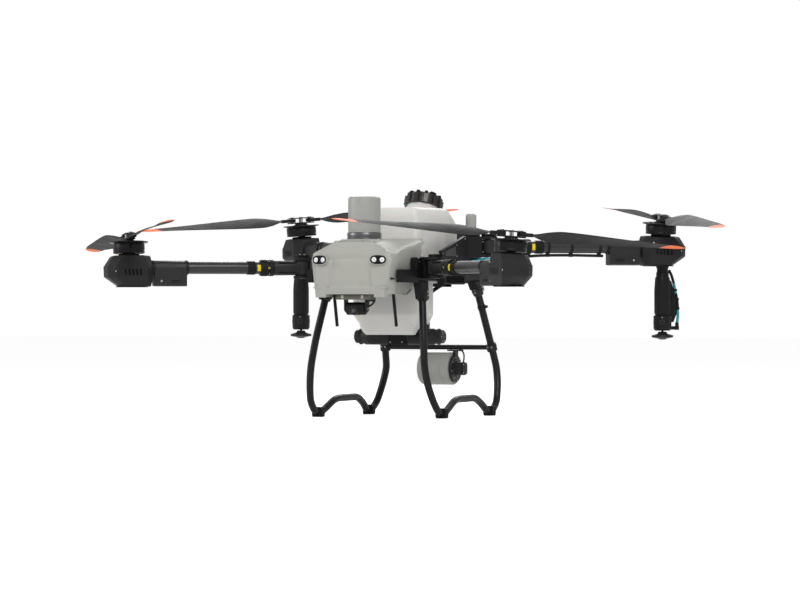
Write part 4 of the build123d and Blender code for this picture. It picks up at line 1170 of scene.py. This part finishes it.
def make_hose_loops():
    """The liquid line from the frame to the arm, looped so that the hinge can fold."""
    for corner in ("rear_left", "rear_right"):
        arm, _ = arm_place(corner)
        s = 1 if corner == "rear_left" else -1
        hinge = arm.translation / MM

        def at(x, y, z):
            """A point of the arm's frame, in millimetres, with y towards the machine's rear."""
            return (arm @ (Vector((x, y * s, z)) * MM)) / MM

        loop = Shape()
        points = [Vector((s * 186, hinge.y - 44, 536)), at(-22, -38, -42), at(-2, -37, -45), at(24, -31, -42),
                  at(46, -14, -36), at(66, 0, -31)]
        loop.sweep(points, 5.4, "teal", GROUND, steps=10)
        piece = loop.build(corner + "_hinge_hose", None)
        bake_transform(piece)


make_frame()
for corner_name in CORNERS:
    make_yoke(corner_name)
make_legs()
make_rear_radar()
make_pump()
make_battery()
make_antennas()
make_hose_loops()

# ---------------------------------------------------------------- finish of the carried-over parts
CARRIED = {
    "hinge_yokes": "black", "leg_sockets": "black", "left_leg_frame": "leg", "right_leg_frame": "leg",
    "rear_crossbar": "leg", "rubber_feet": "rubber", "antenna_rods": "black", "spray_hoses": "black",
    "frame_fasteners": "steel",
}
for node_name, finish in CARRIED.items():
    for part_slot in frame["nodes"][node_name].material_slots:
        part_slot.material = MAT[finish]

# ---------------------------------------------------------------- floor, light and camera
FLOOR_GLOW = 0.5


def make_floor():
    """Pale paper, with a glow that only the camera sees."""
    mesh = bpy.data.meshes.new("studio_floor")
    mesh.from_pydata([(-30, -30, 0), (30, -30, 0), (30, 30, 0), (-30, 30, 0)], [], [[0, 1, 2, 3]])
    mat = surface("studio_paper", (0.95, 0.95, 0.95), 0.9, grain=60, bump=0.02, mottle=0.004)
    mesh.materials.append(mat)
    nodes, links = mat.node_tree.nodes, mat.node_tree.links
    seen = nodes.new("ShaderNodeLightPath")
    glow = nodes.new("ShaderNodeMath")
    glow.operation = "MULTIPLY"
    glow.inputs[1].default_value = FLOOR_GLOW
    links.new(seen.outputs["Is Camera Ray"], glow.inputs[0])
    nodes["Principled BSDF"].inputs["Emission Color"].default_value = (1, 1, 1, 1)
    links.new(glow.outputs["Value"], nodes["Principled BSDF"].inputs["Emission Strength"])
    floor = bpy.data.objects.new("studio_floor", mesh)
    bpy.context.scene.collection.objects.link(floor)


def make_sky():
    """White behind the object, and half as bright as a light on it."""
    world = bpy.data.worlds.new("studio")
    bpy.context.scene.world = world
    world.use_nodes = True
    nodes, links = world.node_tree.nodes, world.node_tree.links
    nodes["Background"].inputs["Color"].default_value = (1.0, 1.0, 1.0, 1)
    seen = nodes.new("ShaderNodeLightPath")
    level = nodes.new("ShaderNodeMapRange")
    level.inputs["To Min"].default_value = 0.5
    level.inputs["To Max"].default_value = 1.0
    links.new(seen.outputs["Is Camera Ray"], level.inputs["Value"])
    links.new(level.outputs["Result"], nodes["Background"].inputs["Strength"])


def softbox(name, place, target, size, power):
    lamp = bpy.data.lights.new(name, "AREA")
    lamp.shape = "RECTANGLE"
    lamp.size, lamp.size_y = size
    lamp.energy = power
    holder = bpy.data.objects.new(name, lamp)
    holder.location = place
    holder.rotation_euler = (Vector(target) - Vector(place)).to_track_quat("-Z", "Y").to_euler()
    bpy.context.scene.collection.objects.link(holder)


make_floor()
make_sky()
softbox("key_light", (3.2, -4.2, 4.6), (0, 0, 0.4), (3.2, 2.4), 190)
softbox("fill_light", (-5.0, -2.8, 2.6), (0, 0, 0.4), (3.0, 2.4), 90)
softbox("back_light", (-1.0, 4.6, 3.6), (0, 0, 0.5), (4.0, 1.6), 120)

CAMERA_AZIMUTH = 25.1
CAMERA_RANGE = 15.4
CAMERA_HEIGHT = 0.401
lens = bpy.data.cameras.new("camera")
lens.lens = 201.3
lens.sensor_width = 36
lens.clip_end = 100
camera = bpy.data.objects.new("camera", lens)
camera.location = (CAMERA_RANGE * sin(radians(CAMERA_AZIMUTH)), -CAMERA_RANGE * cos(radians(CAMERA_AZIMUTH)),
                   CAMERA_HEIGHT)
camera.rotation_euler = (radians(90), 0, radians(CAMERA_AZIMUTH))
bpy.context.scene.collection.objects.link(camera)
bpy.context.scene.camera = camera
bpy.context.scene.view_settings.view_transform = "Standard"
